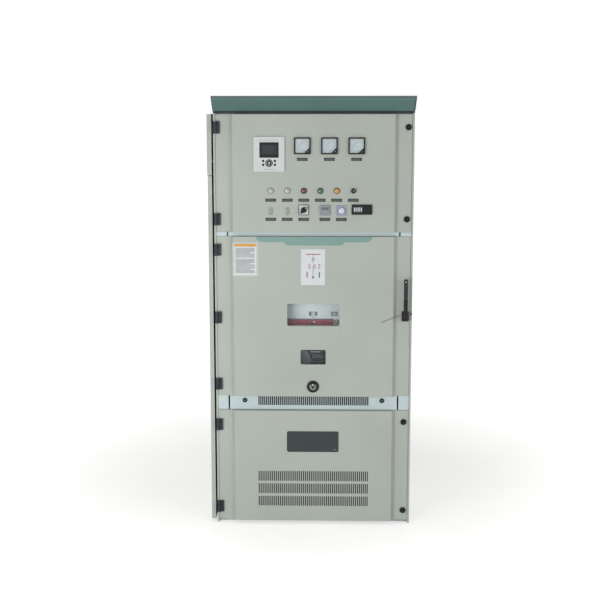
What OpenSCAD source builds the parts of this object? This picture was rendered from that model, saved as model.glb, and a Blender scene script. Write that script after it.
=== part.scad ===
// Withdrawable metal-clad switchgear cabinet, 12 kV class, front faces -Y.
// The origin is on the floor, at the middle of the body. Units are millimetres.

/* [Body] */
// Width across the side walls
body_w = 1000; // [1000:10:1100]
// Depth from the door strips to the rear covers
body_d = 1500; // [1500:10:1700]
// Height from the floor to the top of the lintel
body_h = 2200; // [2200:10:2300]
// Thickness of the sheet steel
sheet = 2; // [1.5:0.5:2.5]

/* [Front layout] */
// Underside of the lowest door
front_bottom = 20; // [15:1:30]
// Top of the cable door
cable_door_top = 606; // [590:1:610]
// Underside of the breaker door, at the top of the vent strip
breaker_door_bottom = 682; // [675:1:700]
// Top of the breaker door
breaker_door_top = 1504; // [1490:1:1510]
// Underside of the instrument door
instrument_door_bottom = 1526; // [1520:1:1540]
// Top of the instrument door
instrument_door_top = 2111; // [2100:1:2115]

/* [Doors] */
// How far the raised middle stands in front of the side strips
door_proud = 22; // [15:1:30]
// Half width of the raised middle
raised_half = 403; // [380:1:410]
// Width of the sloping fold beside the raised middle
fold_w = 17; // [10:1:25]
// Depth of the flange folded back round each door
flange_d = 24; // [20:1:26]
// Gap between a door edge and the lip of the side wall
door_gap = 2; // [1:0.5:3]

/* [Hinges] */
// Height of one hinge
hinge_h = 60; // [50:1:70]
// Radius of the hinge knuckles
knuckle_r = 8; // [6:0.5:9]
// Radius of the hinge pins
pin_r = 3; // [2:0.5:4]
// Radial clearance of every running fit
fit = 0.05; // [0.03:0.01:0.09]

/* [Breaker truck] */
// Distance between neighbouring phases
phase_pitch = 275; // [250:5:275]
// Height of the upper contacts
upper_contact_z = 1310; // [1300:5:1320]
// Height of the lower contacts
lower_contact_z = 1000; // [990:5:1010]
// Travel of the truck from the test to the service place
truck_travel = 200; // [180:5:200]
// Radius of a truck wheel
wheel_r = 28; // [24:1:30]

/* [Hidden] */

$fn = 48;
round_fn = 32;

// Planes of the body
half_w = body_w / 2;
front_y = -body_d / 2;
rear_y = body_d / 2;
wall_top = 2124;
lip_w = 10;
door_half = half_w - lip_w - door_gap;
raised_y = front_y - door_proud;
door_back_y = front_y + flange_d;
inner_half = half_w - sheet;

// Hinges: each pin stands in front of the strip, over the lip of the left wall
pin_x = -half_w + lip_w + 1;
pin_y = front_y - 12;
instrument_hinge_z = [2046, 1590];
breaker_hinge_z = [1436, 1090, 744];
cable_hinge_z = [529, 89];
hinge_z = concat(instrument_hinge_z, breaker_hinge_z, cable_hinge_z);
knuckle_gap = 0.5;
door_knuckle_h = hinge_h / 3;

// Finishes
body_grey = "#a9b1a7";
strip_grey = "#c3ccd0";
lintel_green = "#4f6f67";
badge_green = "#7ba092";
die_cast = "#33383f";
black = "#1c1f1e";
zinc = "#b9bec1";
epoxy = "#8a3b2a";
copper = "#b87352";
steel = "#9aa0a5";
white = "#e8eaea";
glass = "#3d4647";

// Interior planes
truck_floor_z = 655;
contact_wall_y = 30;
busbar_back_y = 330;
busbar_floor_z = 1130;
instrument_floor_z = 1514;
instrument_back_y = -330;
phases = [-phase_pitch, 0, phase_pitch];

// A rounded rectangle in the plane, centred
module rounded_rect(w, h, r) {
    square([w - 2 * r, h], center = true);
    square([w, h - 2 * r], center = true);
    for (x = [-1, 1], z = [-1, 1])
        translate([x * (w / 2 - r), z * (h / 2 - r)])
            circle(r, $fn = round_fn);
}

// A plate that stands in the XZ plane, its front at y, d deep towards the back
module standing(x, y, z, d) {
    translate([x, y + d, z])
        rotate([90, 0, 0])
            linear_extrude(d)
                children();
}

// A box given by its two opposite corners
module span(low, high) {
    translate(low)
        cube(high - low);
}

// A cylinder along Y, from y towards the back
module along_y(x, y, z, r, d) {
    translate([x, y, z])
        rotate([-90, 0, 0])
            cylinder(r = r, h = d);
}

// Posts, base rails, top rails and front beams, welded into one skeleton
post = 40;
tube_wall = 3;
post_x = inner_half - post;
front_post_y = front_y + 28;
rear_post_y = rear_y - sheet - post;
anchor_r = 7;
anchor_x = inner_half - post / 2;
anchor_y = 600;

module tube_z(x, y, low, high) {
    translate([x, y, low])
        linear_extrude(high - low)
            difference() {
                square(post);
                translate([tube_wall, tube_wall])
                    square(post - 2 * tube_wall);
            }
}

module tube_y(x, z) {
    difference() {
        span([x, front_post_y + post, z], [x + post, rear_post_y, z + post]);
        span([x + tube_wall, front_post_y, z + tube_wall],
            [x + post - tube_wall, rear_y, z + post - tube_wall]);
    }
}

module tube_x(y, z) {
    difference() {
        span([-post_x, y, z], [post_x, y + post, z + post]);
        span([-half_w, y + tube_wall, z + tube_wall],
            [half_w, y + post - tube_wall, z + post - tube_wall]);
    }
}

module frame() {
    color(zinc)
        difference() {
            union() {
                for (x = [-inner_half, post_x], y = [front_post_y, rear_post_y])
                    tube_z(x, y, 0, wall_top);
                for (x = [-inner_half, post_x], z = [0, wall_top - post])
                    tube_y(x, z);
                for (y = [front_post_y, rear_post_y], z = [0, wall_top - post])
                    tube_x(y, z);
                tube_x(front_post_y, cable_door_top - post + 8);
                tube_x(front_post_y, (breaker_door_top + instrument_door_bottom - post) / 2);
            }
            for (x = [-anchor_x, anchor_x], y = [-anchor_y, anchor_y])
                translate([x, y, -1])
                    cylinder(r = anchor_r, h = post + 2);
        }
}

// Side walls: a sheet with a lip folded in beside the doors
busbar_z = [1950, 1800, 1650];
busbar_y = 120;
bar_t = 10;
bar_h = 80;
wall_window_y = 80;
wall_window_z = 100;
join_hole_r = 6;
join_hole_y = 650;
join_hole_z = [300, 1800];

module wall_sheet() {
    span([inner_half, front_y, 0], [half_w, rear_y - sheet, wall_top]);
    span([half_w - lip_w, front_y, 0], [half_w, front_y + sheet, wall_top]);
}

module join_holes() {
    for (y = [-join_hole_y, join_hole_y], z = join_hole_z)
        translate([inner_half - 1, y, z])
            rotate([0, 90, 0])
                cylinder(r = join_hole_r, h = sheet + 2);
}

module left_wall() {
    color(body_grey)
        mirror([1, 0, 0])
            wall_sheet();
}

// The right wall lets the main busbars through to the next cabinet
module right_wall() {
    color(body_grey)
        difference() {
            wall_sheet();
            join_holes();
            for (z = busbar_z)
                translate([inner_half - 1, busbar_y + bar_t / 2 - wall_window_y / 2,
                    z - wall_window_z / 2])
                    cube([sheet + 2, wall_window_y, wall_window_z]);
        }
}

// End cover of the row: two shallow pans held off the left wall by spacers
end_outer = half_w + 32;
end_inner = half_w + 9;
end_split = 1807;
end_top = 2111;
end_bottom = 17;
end_front_y = front_y + 4;
end_rear_y = rear_y - 4;
end_split_gap = 3;
spacer = 30;
spacer_inset = 60;

module end_pan(low, high, outer) {
    difference() {
        span([-outer, end_front_y, low], [-end_inner, end_rear_y, high]);
        span([sheet - outer, end_front_y + sheet, low + sheet],
            [-half_w, end_rear_y - sheet, high - sheet]);
    }
    for (y = [end_front_y + spacer_inset, end_rear_y - spacer_inset - spacer],
            z = [low + spacer_inset, high - spacer_inset - spacer])
        span([sheet - outer, y, z], [-half_w, y + spacer, z + spacer]);
}

module end_panel() {
    color(body_grey) {
        end_pan(end_bottom, end_split - end_split_gap / 2, end_outer - 2);
        end_pan(end_split + end_split_gap / 2, end_top, end_outer);
    }
}

// Floor of the cable compartment, with a round opening for each power cable
gland_r = 45;
gland_y = 600;

module floor_plate() {
    color(zinc)
        difference() {
            span([-inner_half, front_post_y + post, post],
                [inner_half, rear_post_y, post + sheet]);
            for (x = phases)
                translate([x, gland_y, post - 1])
                    cylinder(r = gland_r, h = sheet + 2);
        }
}

// Roof: a sheet with three relief openings, hinge lugs and the wiring duct
roof_z = wall_top;
duct_depth = 190;
duct_top = body_h - 12;
flap_depths = [330, 280, 360];
flap_starts = [-320, 35, 360];
flap_half = 420;
flap_z = roof_z + sheet + 3;
flap_rod_r = 3;
flap_edge = 14;
lug_half = 8;
lug_x = 300;

module flap_lug(x, y) {
    difference() {
        span([x - lug_half, y - 8, roof_z + sheet], [x + lug_half, y + 5, flap_z + 7]);
        translate([x - lug_half - 1, y, flap_z])
            rotate([0, 90, 0])
                cylinder(r = flap_rod_r + fit, h = 2 * lug_half + 2);
    }
}

module roof() {
    color(body_grey) {
        difference() {
            span([-half_w, front_y, roof_z], [half_w, rear_y, roof_z + sheet]);
            for (i = [0:2])
                span([-flap_half + flap_edge, flap_starts[i] + flap_edge + 8, roof_z - 1],
                    [flap_half - flap_edge, flap_starts[i] + flap_depths[i] - flap_edge,
                    roof_z + sheet + 1]);
        }
        for (i = [0:2], x = [-lug_x, lug_x])
            flap_lug(x, flap_starts[i]);
        difference() {
            span([-half_w, front_y, roof_z + sheet], [half_w, front_y + duct_depth, duct_top]);
            span([-half_w - 1, front_y + sheet, roof_z + 2 * sheet],
                [half_w + 1, front_y + duct_depth - sheet, duct_top - sheet]);
        }
    }
}

// A relief flap turns on a rod along its front edge
module relief_flap(i) {
    rod_half = lug_x + 40;
    color(body_grey)
        difference() {
            union() {
                span([-flap_half, flap_starts[i], flap_z - 1],
                    [flap_half, flap_starts[i] + flap_depths[i], flap_z + 1]);
                translate([-rod_half, flap_starts[i], flap_z])
                    rotate([0, 90, 0])
                        cylinder(r = flap_rod_r, h = 2 * rod_half);
            }
            for (x = [-lug_x, lug_x])
                difference() {
                    span([x - lug_half - 1, flap_starts[i] - 12, flap_z - 8],
                        [x + lug_half + 1, flap_starts[i] + 9, flap_z + 10]);
                    translate([x - lug_half - 2, flap_starts[i], flap_z])
                        rotate([0, 90, 0])
                            cylinder(r = flap_rod_r, h = 2 * lug_half + 4);
                }
        }
}

// Rear covers, screwed over the cable and busbar compartments
rear_split = 1100;
rear_gap = 3;
cover_bolt_x = half_w - 20;
cover_bolt_inset = 60;
cover_bolt_rows = 4;
cover_bolt_r = 7;
cover_bolt_h = 5;

module rear_cover(low, high) {
    pitch = (high - low - 2 * cover_bolt_inset) / (cover_bolt_rows - 1);
    span([-half_w, rear_y - sheet, low], [half_w, rear_y, high]);
    for (x = [-cover_bolt_x, cover_bolt_x], i = [0 : cover_bolt_rows - 1])
        along_y(x, rear_y, low + cover_bolt_inset + i * pitch, cover_bolt_r, cover_bolt_h);
}

module rear_covers() {
    color(body_grey) {
        rear_cover(0, rear_split - rear_gap / 2);
        rear_cover(rear_split + rear_gap / 2, wall_top);
    }
}

// Lintel: a hollow sheet box whose face leans forward to the top
lintel_half = half_w + 5;
lintel_bottom = roof_z + sheet;
lintel_foot = 12;
lintel_lean = 56;
lintel_band = 9;

module lintel_section(inset) {
    polygon([
        [front_y - inset, lintel_bottom + inset],
        [front_y - lintel_foot + inset, lintel_bottom + inset],
        [front_y - lintel_lean + inset, body_h - lintel_band],
        [front_y - lintel_lean + inset, body_h - inset],
        [front_y - inset, body_h - inset]
    ]);
}

module lintel() {
    color(lintel_green)
        rotate([90, 0, 90])
            difference() {
                translate([0, 0, -lintel_half])
                    linear_extrude(2 * lintel_half)
                        lintel_section(0);
                translate([0, 0, sheet - lintel_half])
                    linear_extrude(2 * (lintel_half - sheet))
                        lintel_section(sheet);
            }
}

// Fixed strips between the doors; the lower one carries the vent slots
strip_y = front_y + 2;
strip_gap_x = 429;
strip_gap_w = 8;
strip_flange = 1.5;
slot_count = 57;
slot_pitch = 10;
vent_slot_w = 7;
vent_slot_low = 630;
vent_slot_high = 677;
vent_knob_x = 352;
vent_knob_z = 656;
vent_knob_r = 12;
vent_knob_t = 6.5;
vent_spindle_r = 5;
vent_cam = [8, 3, 21];

// A row of upright slots cut through the sheet at y
module slot_row(y, low, high, w) {
    first = -(slot_count - 1) / 2 * slot_pitch;
    translate([0, y + 2 * sheet, 0])
        rotate([90, 0, 0])
            linear_extrude(4 * sheet)
                for (i = [0 : slot_count - 1])
                    translate([first + i * slot_pitch - w / 2, low])
                        square([w, high - low]);
}

// A channel lying along X, open to the back
module strip_channel(left, right, low, high) {
    span([left, strip_y, low], [right, strip_y + sheet, high]);
    for (z = [low, high - strip_flange])
        span([left, strip_y, z], [right, front_post_y, z + strip_flange]);
}

module strip_row(low, high) {
    edge = half_w - lip_w - 1;
    strip_channel(-edge, -strip_gap_x - strip_gap_w, low, high);
    strip_channel(-strip_gap_x, strip_gap_x, low, high);
    strip_channel(strip_gap_x + strip_gap_w, edge, low, high);
}

module front_strips() {
    color(strip_grey)
        difference() {
            union() {
                strip_row(breaker_door_top + 1, instrument_door_bottom - 1);
                strip_row(cable_door_top + 2, breaker_door_bottom - 1);
            }
            slot_row(strip_y, vent_slot_low, vent_slot_high, vent_slot_w);
            for (x = [-vent_knob_x, vent_knob_x])
                along_y(x, strip_y - 1, vent_knob_z, vent_spindle_r + fit, sheet + 2);
        }
}

// Liner of the instrument compartment
module instrument_box() {
    side = post_x - 2;
    front = front_post_y + post;
    color(zinc) {
        span([-inner_half, front, instrument_floor_z - sheet],
            [inner_half, instrument_back_y, instrument_floor_z]);
        span([-inner_half, instrument_back_y - sheet, instrument_floor_z],
            [inner_half, instrument_back_y, wall_top - post - 2]);
        for (x = [-side, side - sheet])
            span([x, front, instrument_floor_z], [x + sheet, instrument_back_y - sheet,
                wall_top - post - 2]);
    }
}

// Truck floor with its rails, the contact wall and the busbar chamber
rail_x = 425;
rail_w = 22;
rail_top = truck_floor_z + 8;
contact_hole_r = 80;
guide_w = 15;
shutter_half = 438;
shutter_y = 14;
shutter_t = 3;
guide_front = 10;
guide_top = 1690;
guide_lap = 7;
groove_depth = 9;
partition_top = wall_top - post - 2;
ct_hanger_half = 60;

module shutter_guide(side) {
    low = side > 0 ? shutter_half - guide_lap : -shutter_half + guide_lap - guide_w;
    groove = side > 0 ? low - 1 : low + guide_w - groove_depth;
    difference() {
        span([low, guide_front, truck_floor_z + 2], [low + guide_w, contact_wall_y, guide_top]);
        span([groove, shutter_y - 1, truck_floor_z],
            [groove + groove_depth + 1, shutter_y + shutter_t + 1, guide_top + 1]);
    }
}

module partitions() {
    front = front_post_y + post;
    color(zinc) {
        span([-inner_half, front, truck_floor_z - sheet], [inner_half, contact_wall_y, truck_floor_z]);
        for (x = [-rail_x - rail_w / 2, rail_x - rail_w / 2])
            span([x, front + 2, truck_floor_z], [x + rail_w, guide_front - 5, rail_top]);
        difference() {
            span([-inner_half, contact_wall_y, truck_floor_z - sheet],
                [inner_half, contact_wall_y + sheet, partition_top]);
            for (x = phases, z = [lower_contact_z, upper_contact_z])
                along_y(x, contact_wall_y - 1, z, contact_hole_r, sheet + 2);
        }
        for (side = [-1, 1])
            shutter_guide(side);
        span([-inner_half, contact_wall_y + sheet, busbar_floor_z - sheet],
            [inner_half, busbar_back_y, busbar_floor_z]);
        span([-inner_half, busbar_back_y - sheet, busbar_floor_z],
            [inner_half, busbar_back_y, partition_top]);
        for (x = phases)
            span([x - ct_hanger_half, ct_y + 2, ct_top],
                [x + ct_hanger_half, busbar_back_y, busbar_floor_z - sheet]);
    }
}

// Contact boxes and the bushings where the main bars leave the cabinet
box_flange = 103;
box_flange_t = 10;
box_r = 92;
box_bore_r = 75;
box_depth = 215;
box_back_t = 15;
stud_r = 30;
stud_front = 62;
stud_back = contact_wall_y + sheet + box_depth + 5;

module contact_box(x, z) {
    y0 = contact_wall_y + sheet;
    difference() {
        union() {
            span([x - box_flange, y0, z - box_flange], [x + box_flange, y0 + box_flange_t,
                z + box_flange]);
            along_y(x, y0, z, box_r, box_depth);
        }
        along_y(x, y0 - 1, z, box_bore_r, box_depth - box_back_t + 1);
        along_y(x, y0, z, stud_r, box_depth + 10);
    }
}

module wall_bushing(z) {
    block = [26, 120, 130];
    y0 = busbar_y + bar_t / 2;
    difference() {
        span([inner_half - block[0], y0 - block[1] / 2, z - block[2] / 2],
            [inner_half, y0 + block[1] / 2, z + block[2] / 2]);
        span([inner_half - block[0] - 1, busbar_y - 1, z - bar_h / 2 - 1],
            [half_w, busbar_y + bar_t + 1, z + bar_h / 2 + 1]);
    }
}

module insulators() {
    color(epoxy) {
        for (x = phases, z = [lower_contact_z, upper_contact_z])
            contact_box(x, z);
        for (z = busbar_z)
            wall_bushing(z);
    }
}

// Copper: fixed contacts, main bars, droppers, cable bars and the earth bar
ct_y = 310;
ct_depth = 190;
ct_back = ct_y + ct_depth;
ct_top = lower_contact_z + 30;
cable_bar_low = 330;
cable_lug_y = 400;
drop_half = 40;
main_bar_left = -400;
earth_bar_half = 440;
earth_bar_y = -660;
earth_bar_z = 60;
earth_bar_h = 40;
earth_bar_t = 8;

module fixed_contact(x, z) {
    along_y(x, stud_front, z, stud_r, stud_back - stud_front);
}

module main_phase(i) {
    x = phases[i];
    z = busbar_z[i];
    span([main_bar_left, busbar_y, z - bar_h / 2], [half_w, busbar_y + bar_t, z + bar_h / 2]);
    span([x - drop_half, busbar_y + bar_t, z - bar_h / 2], [x + drop_half, stud_back + bar_t,
        z + bar_h / 2]);
    span([x - drop_half, stud_back, upper_contact_z - drop_half],
        [x + drop_half, stud_back + bar_t, z + bar_h / 2]);
}

module cable_phase(x) {
    span([x - drop_half, stud_back, lower_contact_z - drop_half],
        [x + drop_half, ct_y, lower_contact_z - drop_half + bar_t]);
    span([x - drop_half, stud_back, lower_contact_z - drop_half],
        [x + drop_half, stud_back + bar_t, lower_contact_z + drop_half]);
    span([x - drop_half, ct_back, cable_bar_low],
        [x + drop_half, ct_back + bar_t, lower_contact_z]);
    span([x - drop_half, cable_lug_y, cable_bar_low],
        [x + drop_half, ct_back, cable_bar_low + bar_t]);
}

module busbars() {
    color(copper) {
        for (i = [0:2])
            main_phase(i);
        for (x = phases) {
            fixed_contact(x, upper_contact_z);
            fixed_contact(x, lower_contact_z);
            cable_phase(x);
        }
        span([-earth_bar_half, earth_bar_y, earth_bar_z],
            [earth_bar_half, earth_bar_y + earth_bar_t, earth_bar_z + earth_bar_h]);
    }
}

// Current transformers: cast blocks hung behind the contact wall
ct_half = 74;
ct_h = 160;
ct_foot_half = 50;
ct_foot_inset = 40;
ct_foot_h = 22;

module current_transformer(x) {
    low = ct_top - ct_h;
    span([x - ct_half, ct_y, low], [x + ct_half, ct_back, ct_top]);
    span([x - ct_foot_half, ct_y + ct_foot_inset, low - ct_foot_h],
        [x + ct_foot_half, ct_back - ct_foot_inset, low]);
}

module current_transformers() {
    color(epoxy)
        for (x = phases)
            current_transformer(x);
}

// Earthing switch: bearings on the walls, clips on the cable bars, and its shaft
earth_y = 600;
earth_z = 620;
earth_shaft_r = 15;
shaft_end = 20;
blade_reach = 150;
blade_t = 8;
blade_rest = 58;
blade_half = 14;
bearing_in = 430;
bearing_half = 30;
hub_half = 20;
hub_r = 24;
clip_z = 760;
clip_half = 20;
clip_reach = 34;
clip_offset = 9;
clip_t = 6;

module earthing_switch_frame() {
    color(steel)
        for (x = [-inner_half, bearing_in])
            difference() {
                span([x, earth_y - bearing_half, earth_z - bearing_half],
                    [x + inner_half - bearing_in, earth_y + bearing_half,
                    earth_z + bearing_half]);
                translate([x - 1, earth_y, earth_z])
                    rotate([0, 90, 0])
                        cylinder(r = earth_shaft_r + fit, h = inner_half);
            }
    color(copper)
        for (x = phases, side = [-1, 1])
            span([x + side * clip_offset - clip_t / 2, ct_back + bar_t, clip_z - clip_half],
                [x + side * clip_offset + clip_t / 2, ct_back + bar_t + clip_reach,
                clip_z + clip_half]);
}

module earthing_shaft() {
    color(steel)
        translate([0, earth_y, earth_z])
            rotate([blade_rest, 0, 0]) {
                rotate([0, 90, 0])
                    translate([0, 0, -bearing_in - shaft_end])
                        cylinder(r = earth_shaft_r, h = 2 * (bearing_in + shaft_end));
                for (x = phases) {
                    span([x - blade_t / 2, 0, -blade_half],
                        [x + blade_t / 2, blade_reach, blade_half]);
                    rotate([0, 90, 0])
                        translate([0, 0, x - hub_half])
                            cylinder(r = hub_r, h = 2 * hub_half);
                }
            }
}

// Surge arresters: a shedded column under each phase
arrester_y = 420;
shed_count = 8;
shed_r = 42;
core_r = 28;
shed_h = 12;
shed_start = 15;

module surge_arrester(x) {
    foot = post + sheet;
    pitch = (cable_bar_low - foot - 2 * shed_start) / shed_count;
    translate([x, arrester_y, foot]) {
        cylinder(r = core_r, h = cable_bar_low - foot);
        for (i = [0 : shed_count - 1])
            translate([0, 0, shed_start + i * pitch])
                cylinder(r1 = shed_r, r2 = core_r, h = shed_h);
    }
}

module surge_arresters() {
    color(epoxy)
        for (x = phases)
            surge_arrester(x);
}

// Terminal board: a plate on the liner with a row of terminals, a row of relays,
// a wiring trough and a power unit. Each device: left, low, width, height, depth
board = [-400, 1600, 800, 440, 3];
terminal = [-347, 1640, 14, 50, 50];
terminal_pitch = 16;
terminal_count = 43;
aux_relay = [-330, 1760, 78, 90, 90];
aux_relay_pitch = 90;
aux_relay_count = 7;
trough = [-380, 1900, 560, 50, 60];
power_unit = [230, 1900, 140, 110, 100];

module board_device(d, shift = 0) {
    back = instrument_back_y - sheet;
    span([d[0] + shift, back - d[4], d[1]], [d[0] + shift + d[2], back - board[4], d[1] + d[3]]);
}

module terminal_board() {
    back = instrument_back_y - sheet;
    color(zinc)
        span([board[0], back - board[4], board[1]], [board[0] + board[2], back,
            board[1] + board[3]]);
    color(white) {
        for (i = [0 : terminal_count - 1])
            board_device(terminal, i * terminal_pitch);
        for (i = [0 : aux_relay_count - 1])
            board_device(aux_relay, i * aux_relay_pitch);
        board_device(trough);
        board_device(power_unit);
    }
}

// Hinges: two fixed knuckles on the wall lip, one door knuckle between them
module fixed_knuckle(z) {
    height = hinge_h / 2 - door_knuckle_h / 2 - knuckle_gap;
    difference() {
        union() {
            translate([pin_x, pin_y, z])
                cylinder(r = knuckle_r, h = height);
            span([-half_w, pin_y, z], [pin_x - 5, front_y, z + height]);
            span([pin_x - 6, pin_y, z], [pin_x, front_y, z + height]);
        }
        translate([pin_x, pin_y, z - 1])
            cylinder(r = pin_r, h = height + 2);
    }
}

module hinge_leaves() {
    color(die_cast)
        for (z = hinge_z) {
            fixed_knuckle(z - hinge_h / 2);
            fixed_knuckle(z + door_knuckle_h / 2 + knuckle_gap);
            span([-half_w, pin_y, z - hinge_h / 2], [pin_x - 9, front_y, z + hinge_h / 2]);
        }
}

module hinge_pins() {
    color(steel)
        for (z = hinge_z)
            translate([pin_x, pin_y, z - hinge_h / 2 - 2])
                cylinder(r = pin_r, h = hinge_h + 4);
}

// The door's half of a hinge: a thick leaf and the middle knuckle
leaf_start = 9;
leaf_end = 22;

module door_leaf(z) {
    difference() {
        union() {
            span([pin_x + leaf_start, pin_y + 2, z - hinge_h / 2],
                [pin_x + leaf_end, front_y, z + hinge_h / 2]);
            span([pin_x, pin_y - 4, z - door_knuckle_h / 2],
                [pin_x + leaf_start + 2, pin_y + knuckle_r, z + door_knuckle_h / 2]);
            translate([pin_x, pin_y, z - door_knuckle_h / 2])
                cylinder(r = knuckle_r, h = door_knuckle_h);
        }
        translate([pin_x, pin_y, z - door_knuckle_h])
            cylinder(r = pin_r + fit, h = 2 * door_knuckle_h);
    }
}

module door_leaves(heights) {
    color(die_cast)
        for (z = heights)
            door_leaf(z);
}

// The folded profile shared by all three doors, seen from above
module door_profile(inset, back) {
    side = door_half - inset;
    middle = raised_half - inset / 2;
    strip = front_y + inset;
    polygon([
        [-side, back], [-side, strip],
        [-middle - fold_w, strip], [-middle, raised_y + inset],
        [middle, raised_y + inset], [middle + fold_w, strip],
        [side, strip], [side, back]
    ]);
}

// A door pan with its folded edges; what it is called with is cut away
module door_pan(low, high) {
    difference() {
        translate([0, 0, low])
            linear_extrude(high - low)
                door_profile(0, door_back_y);
        translate([0, 0, low + sheet])
            linear_extrude(high - low - 2 * sheet)
                door_profile(sheet, door_back_y + 1);
        children();
    }
}

// Quarter-turn locks on the right strip
lock_r = 15.5;
lock_shaft_r = 8;
instrument_locks = [[470, 2047], [467, 1591]];
cable_locks = [[464, 545], [466, 71]];
cam_w = 12;
cam_reach = 18;

module lock_hole(at) {
    along_y(at[0], front_y - 1, at[1], lock_shaft_r + fit, sheet + 2);
}

module quarter_lock(at) {
    color(black) {
        along_y(at[0], front_y - 11, at[1], lock_r - 3, 5);
        along_y(at[0], front_y - 6, at[1], lock_r, 5.7);
        along_y(at[0], front_y - 3, at[1], lock_shaft_r, 19);
        span([at[0] - cam_w / 2, front_y + 12, at[1] - 8], [at[0] + cam_w / 2, front_y + 16,
            at[1] + cam_reach]);
    }
}

// What sits on the instrument door
meter_x = [-56, 78, 213];
meter_z = 1956;
meter_w = 82;
meter_proud = 12;
meter_recess = 3;
meter_rim = 6;
meter_body = 70;
meter_body_d = 60;
relay_at = [-220.5, 1915.5];
relay_w = 155;
relay_h = 173;
relay_proud = 9;
relay_rim = 7;
relay_body_d = 120;
lamp_x = [-213.5, -130.5, -48, 34, 116];
lamp_z = 1734;
lamp_ring_r = 15;
lamp_ring_t = 5;
lamp_body_r = 11;
lamp_body_d = 45;
lamp_lens_t = 8;
selector_at = [198, 1734];
changeover_at = [-49, 1639];
controller_at = [57, 1637];
controller_w = 50;
controller_proud = 10;
controller_body = 34;
controller_body_d = 50;
push_at = [140, 1636];
display_at = [241, 1641];
display_w = 102;
display_h = 50;
display_proud = 8;
display_rim = [5, 4];
display_body_d = 70;
knob_plate_w = 52;
knob_plate_t = 4;
knob_body_r = 12;
knob_body_d = 50;
knob_shaft_r = 4;
knob_shaft_l = 25;
selector_ring_r = 15;
selector_r = 11;
selector_t = 11.5;
selector_grip = [6, 7, 20];
changeover_r = 14;
changeover_t = 9.5;
changeover_grip = [10, 11, 42];
knob_gap = 0.5;
push_r = 14;
push_t = 6;
push_stem_r = push_r - 6;
label_w = 53;
label_h = 15;
label_t = 2;
label_row_1 = [-213.5, -131, -48.5, 33, 115, 197.5];
label_row_1_z = 1687.5;
label_row_2 = [-213.5, -131.5, -49, 56.5, 139];
label_row_2_z = 1591.5;
label_row_3 = [-56, 78, 213];
label_row_3_z = 1890;
link_x = [-213.5, -131];
link_z = 1632;
link_w = 20;
link_h = 40;
link_t = 6;
link_socket_r = 5;
link_socket_dz = 9;
body_clearance = 1;

module square_hole(at, w, h) {
    standing(at[0], raised_y - 1, at[1], sheet + 2)
        square([w, h], center = true);
}

module instrument_door() {
    color(body_grey)
        door_pan(instrument_door_bottom, instrument_door_top) {
            for (x = meter_x)
                square_hole([x, meter_z], meter_body + 2 * body_clearance,
                    meter_body + 2 * body_clearance);
            square_hole(relay_at, relay_w - 2 * relay_rim + 2 * body_clearance,
                relay_h - 2 * relay_rim + 2 * body_clearance);
            square_hole(display_at, display_w - 2 * display_rim[0] + 2 * body_clearance,
                display_h - 2 * display_rim[1] + 2 * body_clearance);
            square_hole(controller_at, controller_body + 2 * body_clearance,
                controller_body + 2 * body_clearance);
            for (x = lamp_x)
                along_y(x, raised_y - 1, lamp_z, lamp_body_r + body_clearance, sheet + 2);
            for (at = [selector_at, changeover_at, push_at])
                along_y(at[0], raised_y - 1, at[1], knob_body_r + body_clearance, sheet + 2);
            for (at = instrument_locks)
                lock_hole(at);
        }
}

module device(at, w, h, proud, body_w, body_h, body_d) {
    standing(at[0], raised_y - proud, at[1], proud)
        square([w, h], center = true);
    standing(at[0], raised_y, at[1], body_d)
        square([body_w, body_h], center = true);
}

// Three panel meters with a recessed face, and the live-line indicator
module meters() {
    color(black) {
        for (x = meter_x)
            difference() {
                device([x, meter_z], meter_w, meter_w, meter_proud, meter_body, meter_body,
                    meter_body_d);
                standing(x, raised_y - meter_proud - 1, meter_z, meter_recess + 1)
                    square(meter_w - 2 * meter_rim, center = true);
            }
        device(display_at, display_w, display_h, display_proud, display_w - 2 * display_rim[0],
            display_h - 2 * display_rim[1], display_body_d);
    }
}

module relay() {
    color(white)
        device(relay_at, relay_w, relay_h, relay_proud, relay_w - 2 * relay_rim,
            relay_h - 2 * relay_rim, relay_body_d);
}

module lamps() {
    for (i = [0 : len(lamp_x) - 1])
        color([white, white, "#8e1f2c", "#3f7a5c", "#d99a2b"][i]) {
            along_y(lamp_x[i], raised_y - lamp_ring_t, lamp_z, lamp_ring_r, lamp_ring_t);
            along_y(lamp_x[i], raised_y - lamp_ring_t - lamp_lens_t, lamp_z, lamp_body_r,
                lamp_lens_t);
            along_y(lamp_x[i], raised_y, lamp_z, lamp_body_r, lamp_body_d);
        }
}

// Labels, and the fixed plates and bodies behind the knobs and links; the
// plate of a knob is the child
module knob_base(at, body_r, shaft_r) {
    difference() {
        union() {
            standing(at[0], raised_y - knob_plate_t, at[1], knob_plate_t)
                children();
            along_y(at[0], raised_y, at[1], body_r, knob_body_d);
        }
        along_y(at[0], raised_y - knob_plate_t - 1, at[1], shaft_r + fit, knob_shaft_l + 5);
    }
}

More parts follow.
